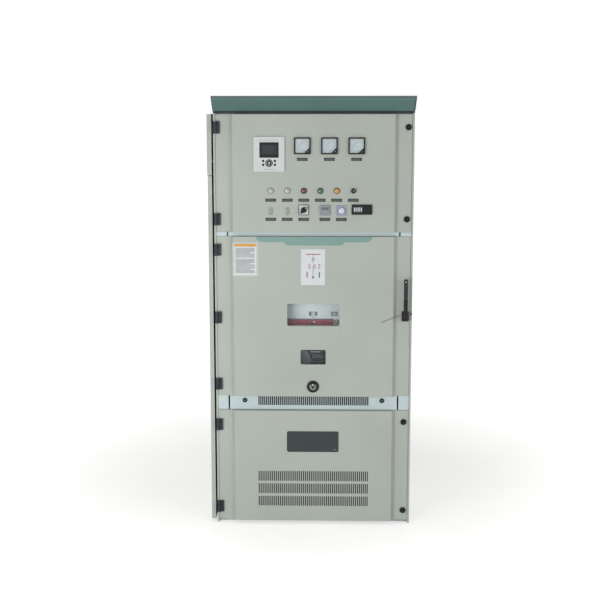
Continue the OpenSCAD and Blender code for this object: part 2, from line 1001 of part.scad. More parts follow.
module panel_plates() {
    color(black)
        for (row = [[label_row_1, label_row_1_z], [label_row_2, label_row_2_z],
                [label_row_3, label_row_3_z]], x = row[0])
            standing(x, raised_y - label_t, row[1], label_t)
                rounded_rect(label_w, label_h, 3);
    color(white) {
        knob_base(changeover_at, knob_body_r, knob_shaft_r)
            rounded_rect(knob_plate_w, knob_plate_w, 5);
        knob_base(push_at, knob_body_r, push_stem_r)
            rounded_rect(knob_plate_w, knob_plate_w, 5);
        knob_base(selector_at, selector_r, knob_shaft_r)
            circle(selector_ring_r);
        device(controller_at, controller_w, controller_w, controller_proud, controller_body,
            controller_body, controller_body_d);
        for (x = link_x)
            difference() {
                standing(x, raised_y - link_t, link_z, link_t)
                    rounded_rect(link_w, link_h, link_w / 2 - 0.1);
                for (dz = [-link_socket_dz, link_socket_dz])
                    along_y(x, raised_y - link_t - 1, link_z + dz, link_socket_r, 3);
            }
    }
}

// Knobs that turn, and the push button; each shaft runs in its base
module turning_knob(at, r, t, grip, angle) {
    back = raised_y - knob_plate_t - knob_gap;
    front = back - t;
    color(black) {
        along_y(at[0], front, at[1], r, t);
        along_y(at[0], back - 1, at[1], knob_shaft_r, knob_shaft_l);
        translate([at[0], front - grip[1] + 1, at[1]])
            rotate([0, angle, 0])
                translate([-grip[0] / 2, 0, -grip[2] / 2])
                    cube(grip);
    }
}

module push_button() {
    color(white) {
        along_y(push_at[0], raised_y - knob_plate_t - 4 - push_t, push_at[1], push_r, push_t);
        along_y(push_at[0], raised_y - knob_plate_t - 5, push_at[1], push_stem_r, 30);
    }
}

module breaker_hole(at, w, h, r) {
    standing(at[0], raised_y - 1, at[1], sheet + 2)
        rounded_rect(w, h, r);
}

// Breaker door with its windows, plates, racking hole and handle
main_window = [0, 1106];
main_window_w = 265;
main_window_h = 114;
counter_window = [-1, 888];
counter_window_w = 128;
counter_window_h = 76;
window_r = 10;
pane_lap = 12;
pane_t = 4;
racking_at = [-2, 735];
racking_hole_r = 14;
handle_at = [465.5, 1098.5];
handle_shaft_r = 6;
handle_base_w = 37;
handle_base_h = 51;
handle_base_front = front_y - 27;
lever_boss_r = 15;
lever_w = 21;
lever_t = 14;
lever_length = 184;
pinion_r = 8;
bar_right = handle_at[0] - pinion_r - 0.4;
bar_w = 12;
bar_low = 760;
bar_high = 1430;
bar_y = front_y + 8;
locking_bar_t = 4;
tongue_reach = 6;
tongue_h = 14;
tongue_z = [780, 1090, 1390];
guide_heights = [840, 1320];
guide_h = 24;
guide_t = 6;
guide_gap = 1;

// A bridge on the back of the door that the locking bar slides through
module bar_guide(z) {
    left = bar_right - bar_w - guide_gap;
    right = bar_right + guide_gap;
    back = bar_y + guide_t + 4;
    span([left - guide_t, front_y + sheet, z], [left, back, z + guide_h]);
    span([right, front_y + sheet, z], [right + guide_t, back, z + guide_h]);
    span([left - guide_t, bar_y + guide_t, z], [right + guide_t, back, z + guide_h]);
}

module breaker_door() {
    color(body_grey) {
        door_pan(breaker_door_bottom, breaker_door_top) {
            breaker_hole(main_window, main_window_w, main_window_h, window_r);
            breaker_hole(counter_window, counter_window_w, counter_window_h, window_r - 3);
            along_y(racking_at[0], raised_y - 1, racking_at[1], racking_hole_r + 2, sheet + 2);
            along_y(handle_at[0], front_y - 1, handle_at[1], handle_shaft_r + 1, sheet + 2);
        }
        for (z = guide_heights)
            bar_guide(z);
    }
}

module pane(at, w, h, r) {
    standing(at[0], raised_y + sheet, at[1], pane_t)
        rounded_rect(w + 2 * pane_lap, h + 2 * pane_lap, r);
}

module breaker_windows() {
    color(glass) {
        pane(main_window, main_window_w, main_window_h, window_r);
        pane(counter_window, counter_window_w, counter_window_h, window_r);
    }
}

// Name plate with two stepped shoulders, diagram card and blank notice card
badge_top = breaker_door_top - 1;
badge_steps = [[292, 0], [270, 25], [150, 25], [135, 42]];
diagram_at = [-2, 1351];
diagram_w = 122;
diagram_h = 182;
notice_at = [-342, 1390];
notice_w = 130;
notice_h = 172;

module breaker_plates() {
    points = concat(
        [for (s = badge_steps) [s[0], -s[1]]],
        [for (i = [3:-1:0]) [-badge_steps[i][0], -badge_steps[i][1]]]);
    color(badge_green)
        standing(4, raised_y - 1.5, badge_top, 1.5)
            polygon(points);
    color(white) {
        standing(diagram_at[0], raised_y - 2, diagram_at[1], 2)
            square([diagram_w, diagram_h], center = true);
        standing(notice_at[0], raised_y - 1, notice_at[1], 1)
            rounded_rect(notice_w, notice_h, 8);
    }
}

// Racking hole: a round escutcheon with a keyhole flap on a pin
escutcheon_r = 30.5;
escutcheon_t = 9;
flap_pin_dz = 21;
flap_pin_r = 2.5;

module escutcheon() {
    x = racking_at[0];
    z = racking_at[1];
    color(black)
        difference() {
            union() {
                along_y(x, raised_y - escutcheon_t, z, escutcheon_r, escutcheon_t);
                along_y(x, raised_y, z, racking_hole_r + 1.9, 20);
            }
            along_y(x, raised_y - escutcheon_t - 1, z, racking_hole_r, escutcheon_t + 30);
            along_y(x, raised_y - escutcheon_t - 1, z + flap_pin_dz, flap_pin_r + fit,
                escutcheon_t + 1);
        }
}

module keyhole_flap() {
    x = racking_at[0];
    z = racking_at[1];
    front = raised_y - escutcheon_t - 3.5;
    color(die_cast) {
        along_y(x, front, z, racking_hole_r + 2, 3);
        along_y(x, front, z + flap_pin_dz, 6, 3);
        span([x - 6, front, z], [x + 6, front + 3, z + flap_pin_dz]);
        along_y(x, front, z + flap_pin_dz, flap_pin_r, 12);
    }
}

module handle_base() {
    color(die_cast)
        difference() {
            standing(handle_at[0], handle_base_front, handle_at[1], front_y - handle_base_front)
                rounded_rect(handle_base_w, handle_base_h, 6);
            along_y(handle_at[0], handle_base_front - 1, handle_at[1], handle_shaft_r + fit, 60);
        }
}

// The lever turns to the left on its shaft; a pinion inside drives the bar
module handle_lever() {
    x = handle_at[0];
    z = handle_at[1];
    front = handle_base_front - lever_t - 0.5;
    color(die_cast) {
        standing(x, front, z + lever_length / 2, lever_t)
            rounded_rect(lever_w, lever_length + lever_w, lever_w / 2 - 0.1);
        along_y(x, front, z, lever_boss_r, lever_t);
        along_y(x, front, z, handle_shaft_r, front_y - front + 22);
        along_y(x, front_y + 6, z, pinion_r, 14);
    }
}

module locking_bar() {
    color(zinc) {
        span([bar_right - bar_w, bar_y, bar_low], [bar_right, bar_y + locking_bar_t, bar_high]);
        for (z = tongue_z)
            span([bar_right - bar_w - tongue_reach, bar_y, z],
                [bar_right - bar_w, bar_y + locking_bar_t, z + tongue_h]);
    }
}

// Cable door with its window and three rows of slots
cable_window_at = [-2.5, 443];
cable_window_w = 267;
cable_window_h = 111;
slot_rows = [[98, 150], [165, 218], [232, 285]];
door_slot_w = 5.5;

module cable_door() {
    color(body_grey)
        door_pan(front_bottom, cable_door_top) {
            breaker_hole(cable_window_at, cable_window_w, cable_window_h, window_r);
            for (row = slot_rows)
                slot_row(raised_y, row[0], row[1], door_slot_w);
            for (at = cable_locks)
                lock_hole(at);
        }
}

module cable_window() {
    color(glass)
        pane(cable_window_at, cable_window_w, cable_window_h, window_r);
}

module vent_knob(x) {
    color(black) {
        along_y(x, strip_y - 7, vent_knob_z, vent_knob_r, vent_knob_t);
        along_y(x, strip_y - 1, vent_knob_z, vent_spindle_r, 16);
        translate([x - vent_cam[0] / 2, strip_y + 8, vent_knob_z - vent_spindle_r])
            cube(vent_cam);
    }
}

// Breaker truck, drawn in the test place behind the closed door
truck_front = -690;
chassis_half = 405;
chassis_low = 678;
chassis_top = 768;
chassis_back = -250;
beam = 20;
side_t = 10;
axle_r = 8;
axle_z = rail_top + wheel_r + 0.3;
axle_y = [truck_front + 60, chassis_back - 60];
screw_r = 9;
housing_half = 325;
housing_back = -490;
housing_top = 1205;
panel_t = 3;
button_at = [[107, 1099], [118, 1058]];
button_r = 9;
button_proud = 5;
button_flange = 3;
panel_recess = [[-2, 1099, 44, 26], [0, 888, 80, 32]];

module truck_chassis() {
    color(zinc)
        difference() {
            union() {
                for (x = [-chassis_half, chassis_half - side_t])
                    span([x, truck_front, chassis_low], [x + side_t, chassis_back, chassis_top]);
                for (y = [truck_front, chassis_back - beam])
                    span([-chassis_half, y, chassis_low + 27], [chassis_half, y + beam, chassis_top]);
                span([-chassis_half, truck_front, chassis_top], [chassis_half, chassis_back,
                    chassis_top + 3]);
            }
            for (y = axle_y)
                translate([-half_w, y, axle_z])
                    rotate([0, 90, 0])
                        cylinder(r = axle_r + fit, h = body_w);
            along_y(racking_at[0], truck_front - 1, racking_at[1], screw_r + fit,
                chassis_back - truck_front + 2);
        }
}

module racking_screw() {
    color(steel) {
        along_y(racking_at[0], truck_front - 18, racking_at[1], screw_r,
            chassis_back - truck_front + 30);
        along_y(racking_at[0], truck_front + beam + 1, racking_at[1], screw_r + 6, 6);
        along_y(racking_at[0], chassis_back - beam - 7, racking_at[1], screw_r + 6, 6);
    }
}

module axle(y) {
    color(steel)
        translate([0, y, axle_z])
            rotate([0, 90, 0]) {
                translate([0, 0, -rail_x - 9])
                    cylinder(r = axle_r, h = 2 * rail_x + 18);
                for (x = [-rail_x - 8, rail_x - 8])
                    translate([0, 0, x])
                        cylinder(r = wheel_r, h = 16);
            }
}

// Mechanism housing with its front panel, open to the back
module breaker_housing() {
    low = chassis_top + 3;
    color(strip_grey)
        difference() {
            span([-housing_half, truck_front, low], [housing_half, housing_back, housing_top]);
            span([-housing_half + panel_t, truck_front + panel_t, low + panel_t],
                [housing_half - panel_t, housing_back - panel_t, housing_top - panel_t]);
            for (at = button_at)
                along_y(at[0], truck_front - 1, at[1], button_r + 0.5, panel_t + 2);
            for (r = panel_recess)
                standing(r[0], truck_front - 1, r[1], 2)
                    square([r[2], r[3]], center = true);
        }
}

// A push button with a flange that rests behind the panel
module breaker_button(i) {
    x = button_at[i][0];
    z = button_at[i][1];
    stem = button_proud + panel_t + 4;
    color(i == 0 ? "#3f7a5c" : "#8e1f2c") {
        along_y(x, truck_front - button_proud, z, button_r, stem);
        along_y(x, truck_front - button_proud + stem, z, button_r + button_flange, 2);
    }
}

// Embedded poles, each with an upper and a lower contact arm
pole_y = -420;
pole_r = 62;
pole_low = 880;
pole_high = 1400;
arm_r = 36;
tulip_r = 46;
tulip_bore_r = 31;
tulip_length = 70;
tulip_tip = -100;

module contact_arm(x, z) {
    along_y(x, pole_y, z, arm_r, tulip_tip - pole_y - tulip_length);
    difference() {
        along_y(x, tulip_tip - tulip_length, z, tulip_r, tulip_length);
        along_y(x, tulip_tip - tulip_length + 8, z, tulip_bore_r, tulip_length);
    }
}

module breaker_poles() {
    color(epoxy)
        for (x = phases) {
            translate([x, pole_y, pole_low])
                cylinder(r = pole_r, h = pole_high - pole_low);
            for (z = [920, 1150])
                span([x - 30, housing_back, z], [x + 30, pole_y, z + 40]);
            contact_arm(x, lower_contact_z);
            contact_arm(x, upper_contact_z);
        }
}

// Shutters cover the contact holes while the truck is out
shutter_cover = 85;

module shutter(z) {
    color(zinc)
        span([-shutter_half, shutter_y, z - shutter_cover],
            [shutter_half, shutter_y + shutter_t, z + shutter_cover]);
}

frame();
left_wall();
right_wall();
end_panel();
floor_plate();
roof();
rear_covers();
lintel();
front_strips();
instrument_box();
partitions();
insulators();
busbars();
current_transformers();
earthing_switch_frame();
surge_arresters();
terminal_board();
hinge_leaves();
hinge_pins();
instrument_door();
door_leaves(instrument_hinge_z);  // instrument_leaves
meters();
relay();
lamps();
panel_plates();
turning_knob(selector_at, selector_r, selector_t, selector_grip, 0);  // selector_knob
turning_knob(changeover_at, changeover_r, changeover_t, changeover_grip, 45);  // changeover_knob
push_button();
quarter_lock(instrument_locks[0]);  // instrument_lock_top
quarter_lock(instrument_locks[1]);  // instrument_lock_bottom
breaker_door();
door_leaves(breaker_hinge_z);  // breaker_leaves
breaker_windows();
breaker_plates();
escutcheon();
keyhole_flap();
handle_base();
handle_lever();
locking_bar();
cable_door();
door_leaves(cable_hinge_z);  // cable_leaves
cable_window();
quarter_lock(cable_locks[0]);  // cable_lock_top
quarter_lock(cable_locks[1]);  // cable_lock_bottom
vent_knob(-vent_knob_x);  // vent_knob_left
vent_knob(vent_knob_x);  // vent_knob_right
truck_chassis();
breaker_housing();
breaker_poles();
racking_screw();
axle(axle_y[0]);  // front_axle
axle(axle_y[1]);  // rear_axle
breaker_button(0);  // on_button
breaker_button(1);  // off_button
shutter(upper_contact_z);  // upper_shutter
shutter(lower_contact_z);  // lower_shutter
earthing_shaft();
relief_flap(0);  // front_relief_flap
relief_flap(1);  // middle_relief_flap
relief_flap(2);  // rear_relief_flap
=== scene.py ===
# %% [markdown]
# A medium-voltage switchgear bay, dressed for rendering. The sheet-steel cabinet, its doors and
# everything that moves come from a solid model, which is loaded first and never changed. The sheet
# metal could be modelled again here, but one shared model keeps the sizes and the hinges exact. The
# cells below give each part its real finish and add the small things that a solid model leaves
# plain: meter dials, lamp lenses, label plates, screws and the printed cards.

# %% Load the solid model
import math
import bmesh
import bpy
from mathutils import Matrix, Vector


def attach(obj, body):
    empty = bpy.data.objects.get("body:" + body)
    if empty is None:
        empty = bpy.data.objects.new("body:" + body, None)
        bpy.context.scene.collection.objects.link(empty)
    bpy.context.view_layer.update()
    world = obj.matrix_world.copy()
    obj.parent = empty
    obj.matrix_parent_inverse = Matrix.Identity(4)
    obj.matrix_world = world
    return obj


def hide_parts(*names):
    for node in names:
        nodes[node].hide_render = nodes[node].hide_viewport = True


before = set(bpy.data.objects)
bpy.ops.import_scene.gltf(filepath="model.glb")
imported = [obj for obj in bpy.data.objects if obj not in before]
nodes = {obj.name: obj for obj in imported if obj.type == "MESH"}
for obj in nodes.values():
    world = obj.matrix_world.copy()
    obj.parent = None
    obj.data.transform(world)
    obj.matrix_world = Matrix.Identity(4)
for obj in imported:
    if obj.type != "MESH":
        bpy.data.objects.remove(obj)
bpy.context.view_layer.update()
MM = 0.001

# %% [markdown]
# Colours are written the way a paint chart or a photo editor gives them, as sRGB hex values.
# Blender's shaders work on linear light, so one function turns the one into the other. Nodes could
# be placed by hand in the editor, but a tree built in code can be read and repeated. One small
# helper adds a node and wires its inputs, and all trees below are built with it.

# %% Colours and node helper
def linear(hex_colour):
    """Turns an sRGB hex colour into the linear RGBA that shaders expect."""
    values = [int(hex_colour[i:i + 2], 16) / 255 for i in (1, 3, 5)]
    return [v / 12.92 if v <= 0.04045 else ((v + 0.055) / 1.055) ** 2.4 for v in values] + [1]


def add(tree, kind, inputs=None, **settings):
    """Adds one node, sets its properties, and sets or links its inputs by name or number."""
    made = tree.nodes.new(kind)
    for name, value in settings.items():
        setattr(made, name, value)
    for key, value in (inputs or {}).items():
        if isinstance(value, bpy.types.NodeSocket):
            tree.links.new(value, made.inputs[key])
        else:
            made.inputs[key].default_value = value
    return made


print("middle grey in linear light:", round(linear("#808080")[0], 3))

# %% [markdown]
# No real surface has one flat colour. Every finish here has a pattern that moves the colour between
# two close shades, one that moves the roughness between two levels, and mostly a fine one that
# gives relief. Photographs of a surface could do this too, but a noise shows no seams and stays
# sharp however close the camera comes. The patterns lie on the piece's own coordinates, in real
# millimetres. A noise keeps between 0.3 and 0.7 over most of its area, so that span is stretched
# over the two shades.

# %% Recipe for a finish
NOISE_LOW, NOISE_HIGH = 0.3, 0.7


def new_material(name):
    """An empty node material: returns it with its tree and the coordinates on the piece."""
    material = bpy.data.materials.new(name)
    material.use_nodes = True
    tree = material.node_tree
    tree.nodes.clear()
    print("material:", name)
    return material, tree, add(tree, "ShaderNodeTexCoord").outputs["Object"]


def surface(tree, shades, rough, tone=None, wear=None, relief=None, relief_mm=0.0, inputs=None):
    """Builds the shader. tone mixes two hex shades, wear moves between two levels of roughness,
    relief is a height pattern of about relief_mm, and inputs are other inputs of the shader.
    Without its pattern a shade or level is even, and stands on the shader itself."""
    given = {"Base Color": linear(shades[0]), "Roughness": rough[0]}
    if tone:
        ramp = add(tree, "ShaderNodeValToRGB", {"Fac": tone})
        for stop, at, shade in zip(ramp.color_ramp.elements, (NOISE_LOW, NOISE_HIGH), shades):
            stop.position, stop.color = at, linear(shade)
        given["Base Color"] = ramp.outputs["Color"]
    if wear:
        level = add(tree, "ShaderNodeMapRange",
                    {"Value": wear, "From Min": NOISE_LOW, "From Max": NOISE_HIGH,
                     "To Min": rough[0], "To Max": rough[1]})
        given["Roughness"] = level.outputs["Result"]
    if relief:
        bump = add(tree, "ShaderNodeBump", {"Height": relief, "Distance": relief_mm * MM})
        given["Normal"] = bump.outputs["Normal"]
    shader = add(tree, "ShaderNodeBsdfPrincipled", given | (inputs or {}))
    add(tree, "ShaderNodeOutputMaterial", {"Surface": shader.outputs[0]})


def noisy(name, shades, rough, noises, relief_mm=0.0, inputs=None, stretch=(1, 1, 1)):
    """A material from noises: for tone, wear and relief, where it has them, the size of a blob in
    mm and the detail. A stretch below one draws the blobs out along that axis."""
    material, tree, where = new_material(name)
    place = add(tree, "ShaderNodeMapping", {"Vector": where, "Scale": stretch}).outputs[0]
    patterns = {use: add(tree, "ShaderNodeTexNoise",
                         {"Vector": place, "Scale": 1 / (blob_mm * MM), "Detail": detail}
                         ).outputs["Fac"] for use, (blob_mm, detail) in noises.items()}
    surface(tree, shades, rough, relief_mm=relief_mm, inputs=inputs, **patterns)
    return material

# %% [markdown]
# The cabinet is folded sheet steel with a polyester powder coat. Powder melts into a film with a
# fine pebbled skin, called orange peel, about 2 mm from bump to bump, and a satin gloss. Such bumps
# would take millions of faces, so a bump map tilts the light instead. Large panels also vary a
# little in shade, from film thickness and handling, so a very wide noise moves the colour by a few
# percent, and smudges the width of a hand move the gloss.

# %% Powder coat
SHADE_PATCH_MM, SMUDGE_MM, PEEL_MM = 350, 60, 2.2
PEEL_HEIGHT_MM = 0.05
POLYESTER_IOR = 1.5


def powder_coat(name, dark, light, rough=(0.35, 0.45)):
    noises = {"tone": (SHADE_PATCH_MM, 3), "wear": (SMUDGE_MM, 4), "relief": (PEEL_MM, 1)}
    return noisy(name, (dark, light), rough, noises, PEEL_HEIGHT_MM, {"IOR": POLYESTER_IOR})


body_paint = powder_coat("powder_coat_grey_green", "#a7aea5", "#adb4ac", (0.42, 0.52))
strip_paint = powder_coat("powder_coat_pale_blue_grey", "#b9c7ca", "#c2cfd1")
lintel_paint = powder_coat("powder_coat_deep_green", "#466661", "#4c6d68")
# The mid green is a painted highlight, for the band where the lintel's upper fold catches light.
lintel_fold_highlight = powder_coat("painted_fold_highlight_green", "#4b6c66", "#52746d")
badge_paint = powder_coat("screen_printed_green", "#73958c", "#7a9c92", (0.3, 0.4))
# The grey edge is painted light and shade, for the lintel's top chamfer and its left end.
lintel_edge_shading = powder_coat("painted_edge_shading_grey", "#4f585a", "#5a6466")

# %% [markdown]
# Inner partitions and the skeleton are aluminium-zinc coated sheet. The coating freezes into
# crystals, the spangle, a few millimetres across, each of which reflects at its own angle. Voronoi
# cells give each crystal its own grey and roughness. The spangle is drawn at 6 mm, a little coarse,
# so that it still shows from a few metres.

# %% Zinc sheet
SPANGLE_MM = 6

zinc_sheet, tree, where = new_material("aluminium_zinc_spangle")
cells = add(tree, "ShaderNodeTexVoronoi", {"Vector": where, "Scale": 1 / (SPANGLE_MM * MM)})
crystal = add(tree, "ShaderNodeSeparateColor", {"Color": cells.outputs["Color"]}).outputs[0]
surface(tree, ("#8f9496", "#b4b9bb"), (0.38, 0.55), crystal, crystal, inputs={"Metallic": 0.85})

# %% [markdown]
# Metals that were cut or rolled keep fine parallel marks, which spread a highlight across them. A
# wave texture could draw such lines, but they would be too even. A noise stretched along one axis,
# with a Mapping node, gives marks that start and end as real ones do. The stretch and the spacing
# are the only things that differ between the turned steel pins, the rolled copper bars and the
# chromed rings of the link blocks.

# %% Drawn and turned metals
MARK_HEIGHT_MM = 0.02
MARKS_ALONG_Z = (1, 1, 0.03)


def worked_metal(name, dark, light, rough, mark_mm=0.8, stretch=MARKS_ALONG_Z):
    noises = dict.fromkeys(("tone", "wear", "relief"), (mark_mm, 2))
    return noisy(name, (dark, light), rough, noises, MARK_HEIGHT_MM, {"Metallic": 1.0}, stretch)


turned_steel = worked_metal("turned_steel", "#8d9296", "#a9aeb2", (0.25, 0.4))
rolled_copper = worked_metal("rolled_copper", "#a8653f", "#bd7a52", (0.3, 0.45), 1.2)
chrome_ring = worked_metal("chromed_brass", "#8f9495", "#a4a9aa", (0.2, 0.3), 0.5, (1, 1, 1))

# %% [markdown]
# The hinges, the handle and the knobs are zinc die castings with a black lacquer, and the device
# housings are moulded plastic. Both have a fine grain: a spark-eroded mould leaves pits of about
# half a millimetre, and sprayed lacquer is smoother. The grain is drawn at 1.2 mm so that it shows.
# The recipe is that of the powder coat with a finer relief, so one more function makes them all.
# Blacks get a lower index than the usual 1.5, because that is how little of the room they show.

# %% Lacquer and moulded plastics
WEAR_MM = 25


def moulded(name, dark, light, rough=(0.4, 0.5), grain_mm=1.2, grain_height_mm=0.03, ior=1.53):
    noises = {"tone": (WEAR_MM, 4), "wear": (WEAR_MM, 4), "relief": (grain_mm, 2)}
    return noisy(name, (dark, light), rough, noises, grain_height_mm, {"IOR": ior})


hinge_lacquer = moulded("lacquered_zinc_die_casting", "#151b23", "#1f2630", (0.35, 0.5), ior=1.4)
knob_lacquer = moulded("black_lacquer", "#070908", "#0d100e", (0.35, 0.5), ior=1.34)
black_abs = moulded("black_abs", "#080a0a", "#0e1111", (0.45, 0.6), ior=1.34)
white_abs = moulded("white_abs", "#c4cac8", "#cbd1cf", (0.35, 0.45))
pale_abs = moulded("pale_grey_green_abs", "#9aa197", "#a3aaa0", (0.35, 0.45))
grey_abs = moulded("blue_grey_polycarbonate", "#8c94a2", "#969eac", (0.25, 0.35))
controller_abs = moulded("mid_grey_polycarbonate", "#7f898f", "#89939a", (0.3, 0.4))
bezel_grey = moulded("anodised_bezel", "#747a78", "#838986", (0.35, 0.45), 1, 0.01)
# The lighter blue-grey of the counter plate paints glare reflected in the counter window.
counter_painted_glare = moulded("counter_painted_glare", "#6a6f79", "#787d87", (0.3, 0.4), 3, 0.01)
label_ink = moulded("engraved_label_face", "#3c433e", "#454c47", (0.45, 0.55), 2, 0.01)
display_glass = moulded("liquid_crystal_display", "#272f31", "#31393b", (0.08, 0.16), 3, 0.002,
                        1.42)
cast_epoxy = moulded("cast_epoxy_resin", "#6f2f24", "#7c382b", (0.22, 0.34), 8, 0.05)
dial_card = moulded("enamelled_dial", "#c6d3d8", "#cfdbdf", (0.5, 0.6), 2, 0.005)
# This black is ink for print, and painted shade in the recesses of the screw heads.
ink_and_shade_black = moulded("black_ink_and_painted_shade", "#24282a", "#2c3032", (0.5, 0.6), 2, 0.005)
print_red = moulded("printing_ink_red", "#8a2733", "#97303c", (0.45, 0.55), 2, 0.005)
print_grey = moulded("printing_ink_grey", "#8f9698", "#9aa1a3", (0.5, 0.6), 2, 0.005)
print_dark_grey = moulded("printing_ink_dark_grey", "#565d5f", "#62696b", (0.5, 0.6), 2, 0.005)
print_ochre = moulded("printing_ink_ochre", "#c98f2e", "#d49b3a", (0.45, 0.55), 2, 0.005)
card_white = moulded("laminated_card", "#ced2d6", "#d6dadd", (0.3, 0.4), 3, 0.01)
pane_border = moulded("laminate_border", "#b6bfb9", "#c0c9c3", (0.2, 0.3), 3, 0.01)
breaker_panel = moulded("breaker_front_enamel", "#e0eef0", "#e9f5f6", (0.3, 0.4), 6, 0.02)
# The near black of the filter mats is painted shade for the inside behind the vent slots.
filter_mat_shade = moulded("filter_mat_painted_shade", "#161a1a", "#202525", (0.8, 0.9), 1.5, 0.1)
dish_grey = moulded("die_cast_dish", "#69716f", "#7c8583", (0.35, 0.5), 2, 0.02)
# This near black is painted shade: the gap under the lintel and its shaded right end.
shadow_black = moulded("painted_shadow_black", "#0f1213", "#171a1b", (0.7, 0.8), 2, 0.02)
red_band = moulded("red_vinyl_band", "#a34653", "#ad505d", (0.3, 0.4), 3, 0.01)
seal_wire = moulded("galvanised_seal_wire", "#3a3d3d", "#4b4f4f", (0.4, 0.5), 1, 0.02)

# %% [markdown]
# Lamp lenses are clear or dyed acrylic over a white diffuser. Light could be sent through them with
# Transmission, but an unlit lens shows little of its inside, so two shades under a strong coat give
# its wet highlight at a fraction of the time. The windows of the breaker door are clear
# polycarbonate sheet: they are mostly see-through, so alpha is low, and the pane still reflects the
# room. The window of the cable door is nearly opaque, and its dark colour paints the shade of the
# compartment behind it.

# %% Lenses and panes
FACET_MM, FACET_HEIGHT_MM = 3, 0.04
LENS_DEPTH_MM = 7
HAZE_MM = 90
ACRYLIC_IOR, PANE_IOR = 1.49, 1.45


def lens(name, dark, light, rough=0.12):
    noises = {"tone": (LENS_DEPTH_MM, 1), "relief": (FACET_MM, 1)}
    return noisy(name, (dark, light), (rough, rough), noises, FACET_HEIGHT_MM,
                 {"IOR": ACRYLIC_IOR, "Coat Weight": 0.6})


def window_sheet(name, colour, alpha, rough):
    return noisy(name, (colour, colour), (rough, rough + 0.05), {"wear": (HAZE_MM, 3)},
                 inputs={"Alpha": alpha, "IOR": PANE_IOR})


clear_lens = lens("clear_acrylic_lens", "#a5aaa3", "#bfc4bc")
red_lens = lens("red_acrylic_lens", "#5a0f1c", "#7a1a2a")
green_lens = lens("green_acrylic_lens", "#2c5a45", "#3e7258")
amber_lens = lens("amber_acrylic_lens", "#b87a1e", "#d09434")
pale_blue_lens = lens("pale_blue_lens", "#c3c9da", "#d4daea", 0.25)
clear_pane = window_sheet("clear_polycarbonate", "#8f9a9c", 0.07, 0.04)
# The dark, nearly opaque sheet of the cable window paints the shade of the compartment behind it.
dark_pane_shade = window_sheet("polycarbonate_painted_shade", "#243132", 0.98, 0.22)

# %% [markdown]
# The camera stands almost six metres in front of the cabinet, a little right of its middle and just
# below the height of its top edge, and looks slightly down and left. These values came from lining
# up the corners of the body with the photograph, whose frame is 600 pixels square.

# %% Camera
FRONT_Y = -0.750
CAMERA_DISTANCE = 5.866
CAMERA_X = 0.0702
CAMERA_Z = 2.15
CAMERA_YAW = 0.0236
CAMERA_PITCH = 0.1639
CAMERA_ROLL = -0.0006
FOCAL_PIXELS = 1172.2
IMAGE_PIXELS = 600
SENSOR_MM = 36

ahead = Vector((-math.sin(CAMERA_YAW) * math.cos(CAMERA_PITCH),
                math.cos(CAMERA_YAW) * math.cos(CAMERA_PITCH),
                -math.sin(CAMERA_PITCH)))
camera_data = bpy.data.cameras.new("camera")
camera_data.sensor_width = SENSOR_MM
camera_data.lens = FOCAL_PIXELS / IMAGE_PIXELS * SENSOR_MM
camera_data.clip_end = 100
camera = bpy.data.objects.new("camera", camera_data)
bpy.context.scene.collection.objects.link(camera)
turned = ahead.to_track_quat("-Z", "Y").to_matrix() @ Matrix.Rotation(CAMERA_ROLL, 3, "Z")
camera.matrix_world = Matrix.Translation((CAMERA_X, FRONT_Y - CAMERA_DISTANCE, CAMERA_Z)) \
    @ turned.to_4x4()
bpy.context.scene.camera = camera
print("lens in mm:", round(camera_data.lens, 1))

# %% [markdown]
# The set is a white studio: a pale floor, a white world, and large soft lamps. The world is white
# only where the camera, a reflection or a window looks at it, so its brightness can be set apart
# from the light that falls on the cabinet. The floor adds a glow of its own for the same rays, so
# it reads as white out to the horizon. The glow is weaker round the foot of the cabinet, where the
# lamps light the floor, so the cabinet's soft shadow stays there.

# %% Floor, world and lamps
FLOOR_HALF = 30
WORLD_LIGHT = 0.42
FLOOR_GLOW, GLOW_AT_FOOT = 0.67, 0.47
GLOW_FROM, GLOW_TO = 0.8, 2.2
FLOOR_PATCH_MM = 900
WHITE = (1, 1, 1, 1)


def rays_that_see_white(tree):
    """One where the camera, a reflection or a view through a pane looks, and nought elsewhere."""
    rays = add(tree, "ShaderNodeLightPath").outputs
    some = add(tree, "ShaderNodeMath", {0: rays["Is Camera Ray"], 1: rays["Is Glossy Ray"]},
               operation="ADD", use_clamp=True)
    return add(tree, "ShaderNodeMath", {0: some.outputs[0], 1: rays["Is Transmission Ray"]},
               operation="ADD", use_clamp=True).outputs[0]


world = bpy.data.worlds.new("studio")
world.use_nodes = True
bpy.context.scene.world = world
sky = world.node_tree
sky.nodes.clear()
strength = add(sky, "ShaderNodeMapRange", {"Value": rays_that_see_white(sky),
                                           "To Min": WORLD_LIGHT, "To Max": 1.0})
backdrop = add(sky, "ShaderNodeBackground",
               {"Color": WHITE, "Strength": strength.outputs["Result"]})
add(sky, "ShaderNodeOutputWorld", {"Surface": backdrop.outputs[0]})

floor_mesh = bpy.data.meshes.new("floor")
floor_mesh.from_pydata([(FLOOR_HALF * sx, FLOOR_HALF * sy, 0)
                        for sx, sy in ((-1, -1), (1, -1), (1, 1), (-1, 1))], [], [(0, 1, 2, 3)])
floor = bpy.data.objects.new("floor", floor_mesh)
bpy.context.scene.collection.objects.link(floor)
floor_paint, tree, where = new_material("pale_floor")
patches = add(tree, "ShaderNodeTexNoise",
              {"Vector": where, "Scale": 1 / (FLOOR_PATCH_MM * MM), "Detail": 3}).outputs["Fac"]
from_foot = add(tree, "ShaderNodeVectorMath", {0: where}, operation="LENGTH").outputs["Value"]
glow_there = add(tree, "ShaderNodeMapRange",
                 {"Value": from_foot, "From Min": GLOW_FROM, "From Max": GLOW_TO,
                  "To Min": GLOW_AT_FOOT, "To Max": FLOOR_GLOW},
                 interpolation_type="SMOOTHSTEP").outputs["Result"]
